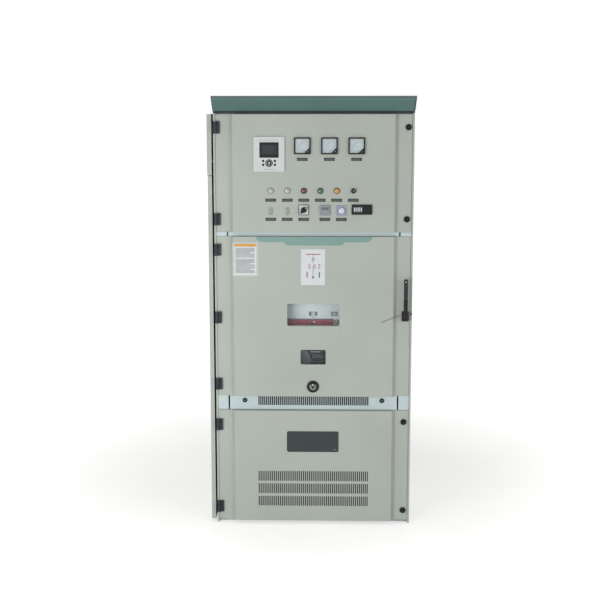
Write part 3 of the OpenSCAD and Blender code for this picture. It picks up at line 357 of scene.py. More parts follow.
glow = add(tree, "ShaderNodeMath", {0: rays_that_see_white(tree), 1: glow_there},
           operation="MULTIPLY").outputs[0]
surface(tree, ("#e6e6e4", "#efefed"), (0.6, 0.6), patches,
        inputs={"IOR": 1.3, "Emission Color": WHITE, "Emission Strength": glow})
floor_mesh.materials.append(floor_paint)

# Each lamp: name, place, the point it faces, width and height in metres, power in watts.
LAMPS = [
    ("front_key", (-2.3, -4.3, 1.05), (0, 0, 1.15), 2.6, 1.6, 82),
    ("front_fill", (3.2, -3.8, 1.7), (0, 0, 1.15), 2.4, 1.6, 35),
    ("top_soft", (0, -0.8, 4.6), (0, 0, 1.5), 3.0, 3.0, 8),
]
for name, place, target, wide, high, power in LAMPS:
    lamp_data = bpy.data.lights.new(name, "AREA")
    lamp_data.shape = "RECTANGLE"
    lamp_data.size, lamp_data.size_y, lamp_data.energy = wide, high, power
    lamp = bpy.data.objects.new(name, lamp_data)
    facing = (Vector(target) - Vector(place)).to_track_quat("-Z", "Y")
    lamp.matrix_world = Matrix.Translation(place) @ facing.to_matrix().to_4x4()
    bpy.context.scene.collection.objects.link(lamp)
bpy.context.scene.view_settings.view_transform = "Standard"
print("lamps:", len(LAMPS), "with watts in all:", sum(lamp[-1] for lamp in LAMPS))

# %% [markdown]
# Every part of the solid model gets its finish here. Each could be given its material in a line of
# its own, but a table that names the material and the parts that wear it shows at a glance what is
# painted, what is cast and what is bare metal, and a finish can be changed in one place.

# %% Finishes of the solid parts
FINISHES = [
    (body_paint, ["instrument_door", "breaker_door", "cable_door", "left_wall", "right_wall",
                  "end_panel", "rear_covers", "roof", "front_relief_flap",
                  "middle_relief_flap", "rear_relief_flap"]),
    (strip_paint, ["front_strips", "breaker_housing"]),
    (lintel_paint, ["lintel"]),
    (zinc_sheet, ["frame", "floor_plate", "partitions", "instrument_box", "truck_chassis",
                  "upper_shutter", "lower_shutter", "locking_bar"]),
    (hinge_lacquer, ["hinge_leaves", "instrument_leaves", "breaker_leaves", "cable_leaves"]),
    (knob_lacquer, ["selector_knob", "changeover_knob", "instrument_lock_top",
                    "instrument_lock_bottom", "cable_lock_top", "cable_lock_bottom",
                    "vent_knob_left", "vent_knob_right", "handle_lever", "handle_base",
                    "keyhole_flap"]),
    (turned_steel, ["hinge_pins", "racking_screw", "front_axle", "rear_axle", "earthing_shaft",
                    "earthing_switch_frame"]),
    (cast_epoxy, ["insulators", "current_transformers", "breaker_poles", "surge_arresters"]),
    (rolled_copper, ["busbars"]),
    (black_abs, ["meters", "escutcheon"]),
    (pale_abs, ["terminal_board"]),
    (card_white, ["panel_plates", "breaker_plates"]),
    (grey_abs, ["relay"]),
    (clear_lens, ["lamps"]),
    (clear_pane, ["breaker_windows"]),
    # The dark cable window pane is painted shade.
    (dark_pane_shade, ["cable_window"]),
    (green_lens, ["on_button"]),
    (red_lens, ["off_button"]),
    (grey_abs, ["push_button"]),
]
for finish, names in FINISHES:
    for name in names:
        nodes[name].data.materials.clear()
        nodes[name].data.materials.append(finish)
covered = {name for _, names in FINISHES for name in names}
print("parts without a finish:", sorted(set(nodes) - covered))

# %% [markdown]
# The details on the doors all face the front, so most of them are flat outlines given a little
# depth, or turned shapes. They could be cut from blocks with Boolean modifiers, but skinning one
# outline to the next leaves closed shapes with few and even faces. An outline is a list of (x, z)
# points in mm seen from the front, and a depth is a y value, smaller towards the viewer. The
# helpers below put every shape of one piece into one mesh, and each shape names the material that
# it wears. Most depths are counted from the face of the doors' raised panels or from the face of
# the strips beside them.

# %% Outline and mesh helpers
RAISED_Y = -772
STRIP_Y = -750
AXIS_RADIUS = 0.01
MERGE_M = 1e-6


def rounded(x, z, wide, high, radius=0.0, steps=4):
    """A rectangle about (x, z), with round corners where a radius is given."""
    corners = [(1, 1), (-1, 1), (-1, -1), (1, -1)]
    points = []
    for quarter, (sx, sz) in enumerate(corners):
        cx, cz = x + sx * (wide / 2 - radius), z + sz * (high / 2 - radius)
        for i in range(steps + 1 if radius else 1):
            turn = (quarter + i / steps) * math.pi / 2
            points.append((cx + radius * math.cos(turn), cz + radius * math.sin(turn)))
    return points


def circle(x, z, radius, steps=32):
    return [(x + radius * math.cos(2 * math.pi * i / steps),
             z + radius * math.sin(2 * math.pi * i / steps)) for i in range(steps)]


def scaled(outline, by_mm):
    """The outline with every point moved in by about by_mm towards the middle of its box."""
    xs, zs = [p[0] for p in outline], [p[1] for p in outline]
    cx, cz = (min(xs) + max(xs)) / 2, (min(zs) + max(zs)) / 2
    sx = 1 - 2 * by_mm / (max(xs) - min(xs))
    sz = 1 - 2 * by_mm / (max(zs) - min(zs))
    return [(cx + (x - cx) * sx, cz + (z - cz) * sz) for x, z in outline]


class Piece:
    """One mesh in the making."""

    def __init__(self, name, body):
        self.name, self.body = name, body
        self.mesh = bmesh.new()
        self.materials = []

    def rings(self, loops, material, smooth=False, capped=True):
        """Skins a list of loops of 3-D points, each as long as the next, and caps both ends."""
        if material not in self.materials:
            self.materials.append(material)
        rows = [[self.mesh.verts.new(Vector(p) * MM) for p in loop] for loop in loops]
        faces = []
        for low, high in zip(rows, rows[1:]):
            for i in range(len(low)):
                j = (i + 1) % len(low)
                faces.append(self.mesh.faces.new((low[i], low[j], high[j], high[i])))
                faces[-1].smooth = smooth
        if capped:
            faces += [self.mesh.faces.new(rows[0]), self.mesh.faces.new(rows[-1])]
        for face in faces:
            face.material_index = self.materials.index(material)

    def stack(self, levels, material, smooth=False, capped=True):
        """Skins outlines that stand at different depths, given as (outline, y) pairs."""
        self.rings([[(x, y, z) for x, z in outline] for outline, y in levels], material, smooth,
                   capped)

    def slab(self, outline, back, front, material, bevel=0.0):
        """A flat shape from depth back to depth front, its front edge chamfered by bevel."""
        chamfer = [(outline, front + bevel)] if bevel else []
        self.stack([(outline, back), *chamfer, (scaled(outline, bevel), front)], material)

    def plate(self, x, z, wide, high, back, front, material, radius=0.0, bevel=0.0):
        """A slab with a rectangular outline about (x, z)."""
        self.slab(rounded(x, z, wide, high, radius), back, front, material, bevel)

    def bezel(self, outer, inner, back, front, material, bevel=0.0):
        """A flat ring between two outlines with equal point counts."""
        self.stack([(outer, back), (outer, front + bevel), (scaled(outer, bevel), front),
                    (inner, front), (inner, back), (outer, back)], material, capped=False)

    def turned(self, x, z, steps, material, base=RAISED_Y, segments=32):
        """A shape turned about a line along y through (x, z) and closed at both ends. steps holds
        (radius, distance in front of base) pairs."""
        ends = (AXIS_RADIUS, steps[0][1]), (AXIS_RADIUS, steps[-1][1])
        self.stack([(circle(x, z, radius, segments), base - out)
                    for radius, out in (ends[0], *steps, ends[1])], material, smooth=True)

    def finish(self, slot, replaces=()):
        """Makes the object, with outward normals, and ties it to the solid model."""
        bmesh.ops.remove_doubles(self.mesh, verts=self.mesh.verts, dist=MERGE_M)
        bmesh.ops.recalc_face_normals(self.mesh, faces=self.mesh.faces)
        data = bpy.data.meshes.new(self.name)
        self.mesh.to_mesh(data)
        self.mesh.free()
        for material in self.materials:
            data.materials.append(material)
        made = bpy.data.objects.new(self.name, data)
        bpy.context.scene.collection.objects.link(made)
        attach(made, self.body)
        if replaces:
            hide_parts(*replaces)
        print(self.name, "faces:", len(data.polygons))

# %% [markdown]
# Things that repeat, such as screws and scale marks, come from Geometry Nodes. A loop over copies
# would do, but a tree keeps one shape and its sizes in one place. Both trees here take a mesh that
# is only points, put one small shape on each point, and end in Realize Instances and Set Material.
# The result is then turned into a plain mesh, and the modifier is removed.

# %% Geometry Nodes: shared pieces
def new_tree(name, inputs):
    """An empty geometry tree with a geometry input and the named inputs: (name, kind) pairs."""
    tree = bpy.data.node_groups.new(name, "GeometryNodeTree")
    tree.interface.new_socket("Geometry", in_out="INPUT", socket_type="NodeSocketGeometry")
    for label, kind in inputs:
        tree.interface.new_socket(label, in_out="INPUT", socket_type="NodeSocket" + kind)
    tree.interface.new_socket("Geometry", in_out="OUTPUT", socket_type="NodeSocketGeometry")
    return tree, add(tree, "NodeGroupInput").outputs


def grown(name, tree, points_mm, values, body):
    """Runs a tree on points, given in mm, and keeps the result as a plain mesh of its own."""
    seeds = bpy.data.meshes.new(name + "_points")
    seeds.from_pydata([Vector(p) * MM for p in points_mm], [], [])
    made = bpy.data.objects.new(name, seeds)
    bpy.context.scene.collection.objects.link(made)
    modifier = made.modifiers.new("grow", "NODES")
    modifier.node_group = tree
    for item in tree.interface.items_tree:
        if item.item_type == "SOCKET" and item.in_out == "INPUT" and item.name in values:
            modifier[item.identifier] = values[item.name]
    shapes = made.evaluated_get(bpy.context.evaluated_depsgraph_get())
    plain = bpy.data.meshes.new_from_object(shapes)
    made.modifiers.clear()
    made.data = plain
    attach(made, body)
    print(name, "from", len(points_mm), "points, faces:", len(plain.polygons))

# %% [markdown]
# A screw head is a low cone with a cross recess. A recess cut into it would take many faces in each
# head for a shape a few millimetres wide, so it is drawn as two dark bars that stand a hair above
# the cone, as painted shade in the recess. Each head gets its own random turn, because nobody lines
# up the slots of screws.

# %% Geometry Nodes: screw heads
SEED = 7
HEAD_SIDES = 18
HEAD_HEIGHT, HEAD_TOP, RECESS_LONG, RECESS_WIDE = 0.45, 0.72, 0.9, 0.2
RECESS_PROUD_MM = 0.2
FRONT, RIGHT, UP = (0, -1, 0), (1, 0, 0), (0, 0, 1)

screw_tree, given = new_tree("screw_heads", [
    ("Facing", "Vector"), ("Head Radius", "Float"), ("Head Height", "Float"),
    ("Seed", "Int"), ("Metal", "Material"), ("Recess Shade", "Material")])
top_radius, recess_long, recess_wide = [
    add(screw_tree, "ShaderNodeMath", {0: given["Head Radius"], 1: share},
        operation="MULTIPLY").outputs[0] for share in (HEAD_TOP, RECESS_LONG, RECESS_WIDE)]
head = add(screw_tree, "GeometryNodeMeshCone",
           {"Vertices": HEAD_SIDES, "Radius Top": top_radius,
            "Radius Bottom": given["Head Radius"], "Depth": given["Head Height"]})
shapes = [head.outputs["Mesh"]]
for x_size, y_size in ((recess_long, recess_wide), (recess_wide, recess_long)):
    size = add(screw_tree, "ShaderNodeCombineXYZ",
               {"X": x_size, "Y": y_size, "Z": RECESS_PROUD_MM * MM})
    bar = add(screw_tree, "GeometryNodeMeshCube", {"Size": size.outputs[0]})
    top = add(screw_tree, "ShaderNodeCombineXYZ", {"Z": given["Head Height"]})
    lifted = add(screw_tree, "GeometryNodeTransform",
                 {"Geometry": bar.outputs["Mesh"], "Translation": top.outputs[0]})
    marked = add(screw_tree, "GeometryNodeStoreNamedAttribute",
                 {"Geometry": lifted.outputs[0], "Name": "recess", "Value": True},
                 data_type="BOOLEAN", domain="FACE")
    shapes.append(marked.outputs[0])
joined = add(screw_tree, "GeometryNodeJoinGeometry")
for shape in shapes:
    screw_tree.links.new(shape, joined.inputs[0])
facing = add(screw_tree, "FunctionNodeAlignRotationToVector", {"Vector": given["Facing"]},
             axis="Z").outputs[0]
angle = add(screw_tree, "FunctionNodeRandomValue", {2: 0.0, 3: math.pi, "Seed": given["Seed"]},
            data_type="FLOAT").outputs[1]
spin = add(screw_tree, "FunctionNodeAxisAngleToRotation",
           {"Axis": (0, 0, 1), "Angle": angle}).outputs[0]
spun = add(screw_tree, "FunctionNodeRotateRotation",
           {"Rotation": facing, "Rotate By": spin}, rotation_space="LOCAL").outputs[0]
placed = add(screw_tree, "GeometryNodeInstanceOnPoints",
             {"Points": given["Geometry"], "Instance": joined.outputs[0], "Rotation": spun})
real = add(screw_tree, "GeometryNodeRealizeInstances", {"Geometry": placed.outputs[0]})
metal = add(screw_tree, "GeometryNodeSetMaterial",
            {"Geometry": real.outputs[0], "Material": given["Metal"]})
# The dark bars paint the shade inside the cross recess.
in_recess_shade = add(screw_tree, "GeometryNodeInputNamedAttribute", {"Name": "recess"},
                data_type="BOOLEAN").outputs[0]
dark = add(screw_tree, "GeometryNodeSetMaterial",
           {"Geometry": metal.outputs[0], "Selection": in_recess_shade, "Material": given["Recess Shade"]})
add(screw_tree, "NodeGroupOutput", {"Geometry": dark.outputs[0]})
print("screw tree, nodes:", len(screw_tree.nodes))


# The two dark bars of each head are painted shade in its cross recess.
def screws(name, points_mm, facing, radius_mm, body, metal=turned_steel):
    grown(name, screw_tree, points_mm,
          {"Facing": facing, "Head Radius": radius_mm * MM,
           "Head Height": HEAD_HEIGHT * radius_mm * MM, "Seed": SEED, "Metal": metal,
           "Recess Shade": ink_and_shade_black}, body)

# %% [markdown]
# The scale of a meter is an arc of short bars, all pointing at the needle's pivot. Each could be
# placed with its own angle worked out by hand. Here the points lie on the arc, and the tree turns
# the bar on each point towards the pivot, which is one of its inputs.

# %% Geometry Nodes: scale marks
MARK_THICK_MM = 0.3

tick_tree, given = new_tree("scale_marks", [
    ("Pivot", "Vector"), ("Length", "Float"), ("Width", "Float"), ("Ink", "Material")])
size = add(tick_tree, "ShaderNodeCombineXYZ",
           {"X": given["Length"], "Y": MARK_THICK_MM * MM, "Z": given["Width"]})
bar = add(tick_tree, "GeometryNodeMeshCube", {"Size": size.outputs[0]})
place = add(tick_tree, "GeometryNodeInputPosition").outputs[0]
inward = add(tick_tree, "ShaderNodeVectorMath", {0: given["Pivot"], 1: place},
             operation="SUBTRACT").outputs[0]
turn = add(tick_tree, "FunctionNodeAlignRotationToVector", {"Vector": inward},
           axis="X", pivot_axis="Y").outputs[0]
bars = add(tick_tree, "GeometryNodeInstanceOnPoints",
           {"Points": given["Geometry"], "Instance": bar.outputs["Mesh"], "Rotation": turn})
real = add(tick_tree, "GeometryNodeRealizeInstances", {"Geometry": bars.outputs[0]})
inked = add(tick_tree, "GeometryNodeSetMaterial",
            {"Geometry": real.outputs[0], "Material": given["Ink"]})
add(tick_tree, "NodeGroupOutput", {"Geometry": inked.outputs[0]})
print("scale tree, nodes:", len(tick_tree.nodes))

# %% [markdown]
# Three panel meters of 82 mm sit in the upper door. A moving-coil meter of this kind has its pivot
# in the lower right corner, under a black cover, so the pale dial has that corner cut off. The
# needle rests at zero, at the left end of the arc, because nothing is energised. A dial could be a
# flat picture, but a raised frame, a dial set back and a pane in front of it give the real shadows,
# so the meter is built up in layers.

# %% Upper door: meters
METERS = {"left": -56, "middle": 78, "right": 213}
METER_Z, METER_SIZE, METER_PROUD, METER_DEEP = 1956, 82, 12, 60
DIAL_SIZE, CORNER_CUT, CARD_RIM, DIAL_Y = 70, 26, 2.2, -776.5
GLASS_Y, GLASS_THICK = -783, 0.6
PIVOT_INSET, NEEDLE_LENGTH, NEEDLE_HALF, NEEDLE_Y = 8, 46, 0.5, DIAL_Y - 1.5
SCALE_START, SCALE_END, SCALE_RADIUS, SCALE_MARKS = 100, 172, 50, 16
MARK_Y, MARK_LONG, MARK_WIDE = DIAL_Y - 0.1, 4, 0.8
STUD_X, STUD_LONG = 12, 8


def meter(name, x):
    left, right = x - DIAL_SIZE / 2, x + DIAL_SIZE / 2
    low, high = METER_Z - DIAL_SIZE / 2, METER_Z + DIAL_SIZE / 2
    made = Piece("meter_" + name, "upper_door")
    made.bezel(rounded(x, METER_Z, METER_SIZE, METER_SIZE, 3),
               rounded(x, METER_Z, DIAL_SIZE, DIAL_SIZE, 1), RAISED_Y, RAISED_Y - METER_PROUD,
               black_abs, 1.5)
    made.plate(x, METER_Z, DIAL_SIZE, DIAL_SIZE, RAISED_Y + 0.1, DIAL_Y + 2, black_abs)
    dial = [(right - CORNER_CUT, low), (right, low + CORNER_CUT), (right, high), (left, high),
            (left, low)]
    made.slab(dial, DIAL_Y + 2, DIAL_Y + 0.4, card_white)
    made.slab(scaled(dial, CARD_RIM), DIAL_Y + 0.4, DIAL_Y, dial_card)
    made.slab([(right, low), dial[1], dial[0]], DIAL_Y + 2, GLASS_Y + GLASS_THICK, black_abs, 1.2)
    made.turned(right - 7, low + 7, [(2.2, -0.7), (2.2, 0)], turned_steel, GLASS_Y, 16)
    pivot = (right - PIVOT_INSET, low + PIVOT_INSET)
    lean = math.radians(SCALE_END)
    tip = (pivot[0] + NEEDLE_LENGTH * math.cos(lean), pivot[1] + NEEDLE_LENGTH * math.sin(lean))
    side = (NEEDLE_HALF * math.sin(lean), -NEEDLE_HALF * math.cos(lean))
    made.slab([(pivot[0] - side[0], pivot[1] - side[1]), (pivot[0] + side[0], pivot[1] + side[1]),
               tip], NEEDLE_Y, NEEDLE_Y - 0.4, ink_and_shade_black)
    made.plate(x, METER_Z, DIAL_SIZE, DIAL_SIZE, GLASS_Y + GLASS_THICK, GLASS_Y, clear_pane)
    made.plate(x, METER_Z, DIAL_SIZE, DIAL_SIZE, RAISED_Y + 2, RAISED_Y + METER_DEEP, black_abs, 2)
    for stud in (-STUD_X, STUD_X):
        made.turned(x + stud, METER_Z, [(4, -METER_DEEP), (4, -METER_DEEP - STUD_LONG)],
                    turned_steel, segments=16)
    made.finish("black_plastic", ["meters"])
    return pivot


pivots = [meter(name, x) for name, x in METERS.items()]
for name, (pivot_x, pivot_z) in zip(METERS, pivots):
    marks = []
    for i in range(SCALE_MARKS):
        share = i / (SCALE_MARKS - 1)
        angle = math.radians(SCALE_START + (SCALE_END - SCALE_START) * share)
        marks.append((pivot_x + SCALE_RADIUS * math.cos(angle), MARK_Y,
                      pivot_z + SCALE_RADIUS * math.sin(angle)))
    grown("scale_" + name, tick_tree, marks,
          {"Pivot": Vector((pivot_x, MARK_Y, pivot_z)) * MM, "Length": MARK_LONG * MM,
           "Width": MARK_WIDE * MM, "Ink": ink_and_shade_black}, "upper_door")

# %% [markdown]
# The protection relay is a pale case with a black-framed display, a round key pad and four small
# keys. A thin line runs across the case near its top and another near its foot. The keys could be
# bump in a material, but turned shapes keep a crisp edge and a shadow in a close view.

# %% Upper door: protection relay
RELAY_X, RELAY_Z, RELAY_DEEP = -220.5, 1915.5, 120
RELAY_FACE = RAISED_Y - 9
DISPLAY_Z, KEY_PAD_Z = 1938, 1871.5
PRINT_THICK = 0.15

made = Piece("protection_relay", "upper_door")
made.plate(RELAY_X, RELAY_Z, 155, 173, RAISED_Y, RELAY_FACE, white_abs, 3, 2)
made.bezel(rounded(RELAY_X, DISPLAY_Z - 2, 95, 76, 2), rounded(RELAY_X, DISPLAY_Z, 74, 46, 1),
           RELAY_FACE, RELAY_FACE - 1, black_abs, 0.4)
made.plate(RELAY_X, DISPLAY_Z, 76, 48, RELAY_FACE, RELAY_FACE - 0.4, display_glass)
for radius, proud, material in ((18.7, 0.5, black_abs), (14.5, 0.8, white_abs),
                                (12.5, 1.1, black_abs), (5.5, 1.6, white_abs)):
    made.turned(RELAY_X, KEY_PAD_Z, [(radius, 0), (radius, proud)], material, RELAY_FACE)
for side in (-29, 29):
    for key_z in (1882, 1863):
        made.turned(RELAY_X + side, key_z, [(6, 0), (6, 0.8), (5.2, 1.4)], black_abs, RELAY_FACE,
                    20)
for left, right, line_z in ((-267, -177, 1985), (-247, -178, 1841)):
    made.plate((left + right) / 2, line_z, right - left, 2.4, RELAY_FACE,
               RELAY_FACE - PRINT_THICK, print_grey)
made.plate(RELAY_X, RELAY_Z, 141, 159, RAISED_Y + 0.2, RAISED_Y + RELAY_DEEP, pale_abs, 2)
for rail_z in (1860, 1900, 1940):
    made.plate(RELAY_X, rail_z, 110, 12, RAISED_Y + RELAY_DEEP - 0.2, RAISED_Y + RELAY_DEEP + 8,
               black_abs, 1)
made.finish("white_plastic", ["relay"])

# %% [markdown]
# Five indicator lamps: a ring on the panel, a domed lens and the body behind. The two on the left
# are clear, in grey rings; then come red, green and amber in black rings. Half a sphere would be
# too round for the lens, so ring and dome are turned from a list of radii, as a lathe would cut
# them.

# %% Upper door: lamps
LAMP_Z = 1734
LAMP_RING = [(15, 0), (15, 3.4), (14, 4.6), (12.9, 4.6), (12.9, 3.8)]
LAMP_DOME = [(12.8, 3.5), (12.8, 6), (11.6, 9), (8.5, 11.4), (4.5, 12.6), (1.5, 13)]

for name, x, glass, ring in (("clear_1", -213.5, clear_lens, bezel_grey),
                             ("clear_2", -130.5, clear_lens, bezel_grey),
                             ("red", -48, red_lens, black_abs),
                             ("green", 34, green_lens, black_abs),
                             ("amber", 116, amber_lens, black_abs)):
    made = Piece("lamp_" + name, "upper_door")
    made.turned(x, LAMP_Z, LAMP_RING, ring)
    made.turned(x, LAMP_Z, LAMP_DOME, glass)
    made.turned(x, LAMP_Z, [(11, 0.1), (11, -30), (9, -30), (9, -45)], black_abs)
    made.turned(x, LAMP_Z, [(14, -2.2), (14, -7)], black_abs, segments=6)
    made.finish("lamp_plastic", ["lamps"])

# %% [markdown]
# Under each device is a small blank label, held by two tiny screws. Each is a plate with a
# chamfered front edge: the thin bright line that the chamfer catches is what shows that a plate is
# a piece of its own. A Bevel modifier would add it to every edge, also where none is seen.

# %% Upper door: labels
LABEL_ROWS = [((-213.5, -131, -48.5, 33, 115, 197.5), 1687.5),
              ((-213.5, -131.5, -49, 56.5, 139), 1591.5), ((-56, 78, 213), 1890)]
LABEL_PROUD, LABEL_SCREW, LABEL_SCREW_X = 1.6, 1.8, 23

made = Piece("labels", "upper_door")
label_screws = []
for row, z in LABEL_ROWS:
    for x in row:
        made.plate(x, z, 53, 15, RAISED_Y, RAISED_Y - LABEL_PROUD, black_abs, 3, 0.4)
        made.plate(x, z, 40, 10, RAISED_Y - LABEL_PROUD, RAISED_Y - 2, label_ink, 2)
        label_screws += [(x + dx, RAISED_Y - LABEL_PROUD, z)
                         for dx in (-LABEL_SCREW_X, LABEL_SCREW_X)]
made.finish("black_plastic", ["panel_plates"])
screws("label_screws", label_screws, FRONT, LABEL_SCREW, "upper_door")

# %% [markdown]
# The two link blocks are pale, round-ended bodies with two chromed contacts each, where a link can
# be set. A capsule could be joined from boxes and cylinders, but one rounded outline has no joints
# to hide, and turned rings on it give the wells their rims.

# %% Upper door: link blocks
LINKS_X, LINKS_Z, WELL_DZ = (-213.5, -131), 1632, 9

made = Piece("link_blocks", "upper_door")
for x in LINKS_X:
    made.slab(rounded(x, LINKS_Z, 20, 40, 9.9, 8), RAISED_Y, RAISED_Y - 4.5, pale_abs, 1)
    for z in (LINKS_Z - WELL_DZ, LINKS_Z + WELL_DZ):
        made.turned(x, z, [(7, 4.4), (7, 5.6), (6.2, 6), (4.6, 6), (4.6, 4.6)], pale_abs,
                    segments=24)
        made.turned(x, z, [(3.4, 4.4), (3.4, 5.4)], chrome_ring, segments=16)
made.finish("white_plastic", ["panel_plates"])

# %% [markdown]
# The changeover switch and the push button sit in square plates with a raised rim, the selector in
# a round collar, and the heater controller between them is a plain block with a small window. They
# stay still while the knobs turn, so they are one piece on the door, and each square plate has a
# round hole for its shaft. The bodies behind are simple, since only an open door shows them.

# %% Upper door: fixed plates
KNOB_PLATE, CONTROLLER_PROUD = 4, 9
SELECTOR, CHANGEOVER, PUSH, CONTROLLER = (198, 1734), (-49, 1639), (140, 1636), (57, 1637)

made = Piece("fixed_plates", "upper_door")
for (x, z), face, rim in ((CHANGEOVER, white_abs, black_abs), (PUSH, grey_abs, grey_abs)):
    made.bezel(rounded(x, z, 52, 52, 5), rounded(x, z, 46, 46, 3), RAISED_Y,
               RAISED_Y - KNOB_PLATE, rim, 0.8)
    made.bezel(rounded(x, z, 46.4, 46.4, 3, 7), circle(x, z, 9), RAISED_Y,
               RAISED_Y - KNOB_PLATE + 0.5, face)
    made.turned(x, z, [(12, -0.2), (12, -50)], black_abs)
made.turned(*SELECTOR, [(15, 0), (15, 3.2), (14, 4), (11.5, 4)], bezel_grey)
made.turned(*SELECTOR, [(11, -0.2), (11, -45)], black_abs)
x, z = CONTROLLER
made.plate(x, z, 50, 50, RAISED_Y, RAISED_Y - CONTROLLER_PROUD, controller_abs, 2, 1.2)
made.plate(x, z + 9, 36, 14, RAISED_Y - CONTROLLER_PROUD, RAISED_Y - CONTROLLER_PROUD - 0.6,
           print_dark_grey, 1, 0.2)
for dx in (-12, 0, 12):
    made.turned(x + dx, z - 12, [(3.2, 8.8), (3.2, 9.8)], grey_abs, segments=16)
made.plate(x, z, 34, 34, RAISED_Y + 0.2, RAISED_Y + 50, black_abs, 2)
made.finish("white_plastic", ["panel_plates"])

# %% [markdown]
# The live-line indicator is a black module: a striped bar display on the left, which shows the
# phases that are live, and a blank dark half with a test socket row on the right. Emission would
# make the bars glow, but nothing is energised here, so they are pale shapes on a dark field.

# %% Upper door: live-line indicator
LIVE_X, LIVE_Z, LIVE_FACE = 241, 1641, RAISED_Y - 6.4
BARS, SOCKETS, CELL_PITCH = 4, 3, 11

made = Piece("live_line_indicator", "upper_door")
made.bezel(rounded(LIVE_X, LIVE_Z, 102, 50, 3), rounded(LIVE_X, LIVE_Z, 90, 38, 1), RAISED_Y,
           RAISED_Y - 8, black_abs, 1.2)
made.plate(LIVE_X, LIVE_Z, 91, 39, RAISED_Y + 0.1, LIVE_FACE, black_abs)
made.plate(LIVE_X - 20, LIVE_Z, 44, 26, LIVE_FACE, LIVE_FACE - 0.5, print_dark_grey, 1)
for i in range(BARS):
    made.plate(LIVE_X - 36 + CELL_PITCH * i, LIVE_Z + 1, 5, 18 - 2 * (i % 2), LIVE_FACE - 0.5,
               LIVE_FACE - 0.8, card_white)
for i in range(SOCKETS):
    made.turned(LIVE_X + 14 + CELL_PITCH * i, LIVE_Z, [(3, 6.4), (3, 7.4), (2, 7.4), (1.6, 6.8)],
                hinge_lacquer, segments=16)
made.plate(LIVE_X, LIVE_Z, 92, 42, RAISED_Y + 0.2, RAISED_Y + 70, black_abs, 1)
made.finish("black_plastic", ["meters"])

# %% [markdown]
# The knobs that turn keep the solid model's size and axis. The selector has a grip bar across its
# face with a white pointer line; the changeover switch has a tapered pointer handle; the push
# button is a shallow pale dome in its square plate. A grip could be a scaled cube, but its sides
# taper, so it is an outline turned to the knob's place at rest and then given depth.

# %% Upper door: knobs and button
REST_TURN = 45
BOSS_FACE = 13.5


def bar_outline(x, z, long_side, tip, tail, degrees):
    """A pointer seen from the front, tapered from tail to tip and turned about (x, z)."""
    turn = math.radians(degrees)
    half = long_side / 2
    flat = [(half, tip / 2), (half - tip / 3, tip / 2 + 0.6), (-half, tail / 2),
            (-half, -tail / 2), (half - tip / 3, -tip / 2 - 0.6), (half, -tip / 2)]
    return [(x + a * math.cos(turn) - b * math.sin(turn),
             z + a * math.sin(turn) + b * math.cos(turn)) for a, b in flat]


# Each knob: name, place, boss, grip (length, tip, tail), how far the grip stands out, its chamfer,
# and the pointer line (shift along x and z, length).
KNOBS = [("selector", SELECTOR, [(4, -20), (4, 4.5), (11, 4.6), (11, 12), (10, 13.5)],
          (20, 5.5, 6), 22, 0.8, (2.6, 10)),
         ("changeover", CHANGEOVER, [(4, -20), (4, 4.5), (14, 4.6), (14, 12), (12.6, 14)],
          (42, 6, 11), 24, 1.2, (10.5, 9))]
for name, (x, z), boss, grip, proud, chamfer, (shift, line) in KNOBS:
    made = Piece(name + "_switch_knob", name + "_knob_body")
    made.turned(x, z, boss, knob_lacquer)
    made.slab(bar_outline(x, z, *grip, REST_TURN), RAISED_Y - BOSS_FACE, RAISED_Y - proud,
              knob_lacquer, chamfer)
    made.slab(bar_outline(x + shift, z + shift, line, 0.8, 2.2, REST_TURN), RAISED_Y - proud,
              RAISED_Y - proud - 0.3, card_white)
    made.finish("black_plastic", [name + "_knob"])

made = Piece("push_button_cap", "push_button_body")
made.turned(*PUSH, [(8, -21), (8, 7.9), (14, 8), (14, 12.4), (12.5, 13.6), (8, 14)],
            pale_blue_lens, segments=40)
made.finish("white_plastic", ["push_button"])

# %% [markdown]
# The quarter-turn locks on the right strip are black discs with a stepped rim and a key recess in
# the middle. The recess is drawn as a dark triangle, the common shape for cabinet keys, because a
# cut one would be too small to look into. The cam on the back of each lock is kept from the solid
# model's sizes.

# %% Locks
LOCKS = {"instrument_lock_top": (470, 2047), "instrument_lock_bottom": (467, 1591),
         "cable_lock_top": (464, 545), "cable_lock_bottom": (466, 71)}
LOCK_BODY = [(8, -16), (8, 0.25), (15.5, 0.3), (15.5, 4.6), (14.6, 6), (12.8, 6), (12.5, 10.2),
             (11.6, 11), (8.4, 11), (8, 9.2)]
KEY_RADIUS = 5.6

for name, (x, z) in LOCKS.items():
    made = Piece(name + "_dressed", name + "_body")
    made.turned(x, z, LOCK_BODY, knob_lacquer, STRIP_Y, 36)
    recess = [(x + KEY_RADIUS * math.cos(math.radians(turn)),
               z + KEY_RADIUS * math.sin(math.radians(turn))) for turn in (90, 210, 330)]
    made.slab(recess, STRIP_Y - 9, STRIP_Y - 10.4, hinge_lacquer, 0.4)
    made.plate(x, z + 5, 12, 26, STRIP_Y + 16, STRIP_Y + 12, turned_steel, 2)
    made.turned(x, z, [(6, -16), (6, -20), (4, -21)], turned_steel, STRIP_Y, 6)
    made.finish("hinge_casting", [name])

# %% [markdown]
# The middle door carries a stepped green badge below the strip, a plain plate of thin printed
# sheet. Its outline is written once, for the right half, and mirrored in code, which keeps it even
# on both sides and avoids the seam down the middle that a Mirror modifier can leave.

# %% Middle door: badge
BADGE_X, BADGE_TOP = 4, 1503
BADGE_STEPS = [(292, 0), (288, 12), (276, 22), (262, 26), (152, 26), (146, 36), (134, 42)]

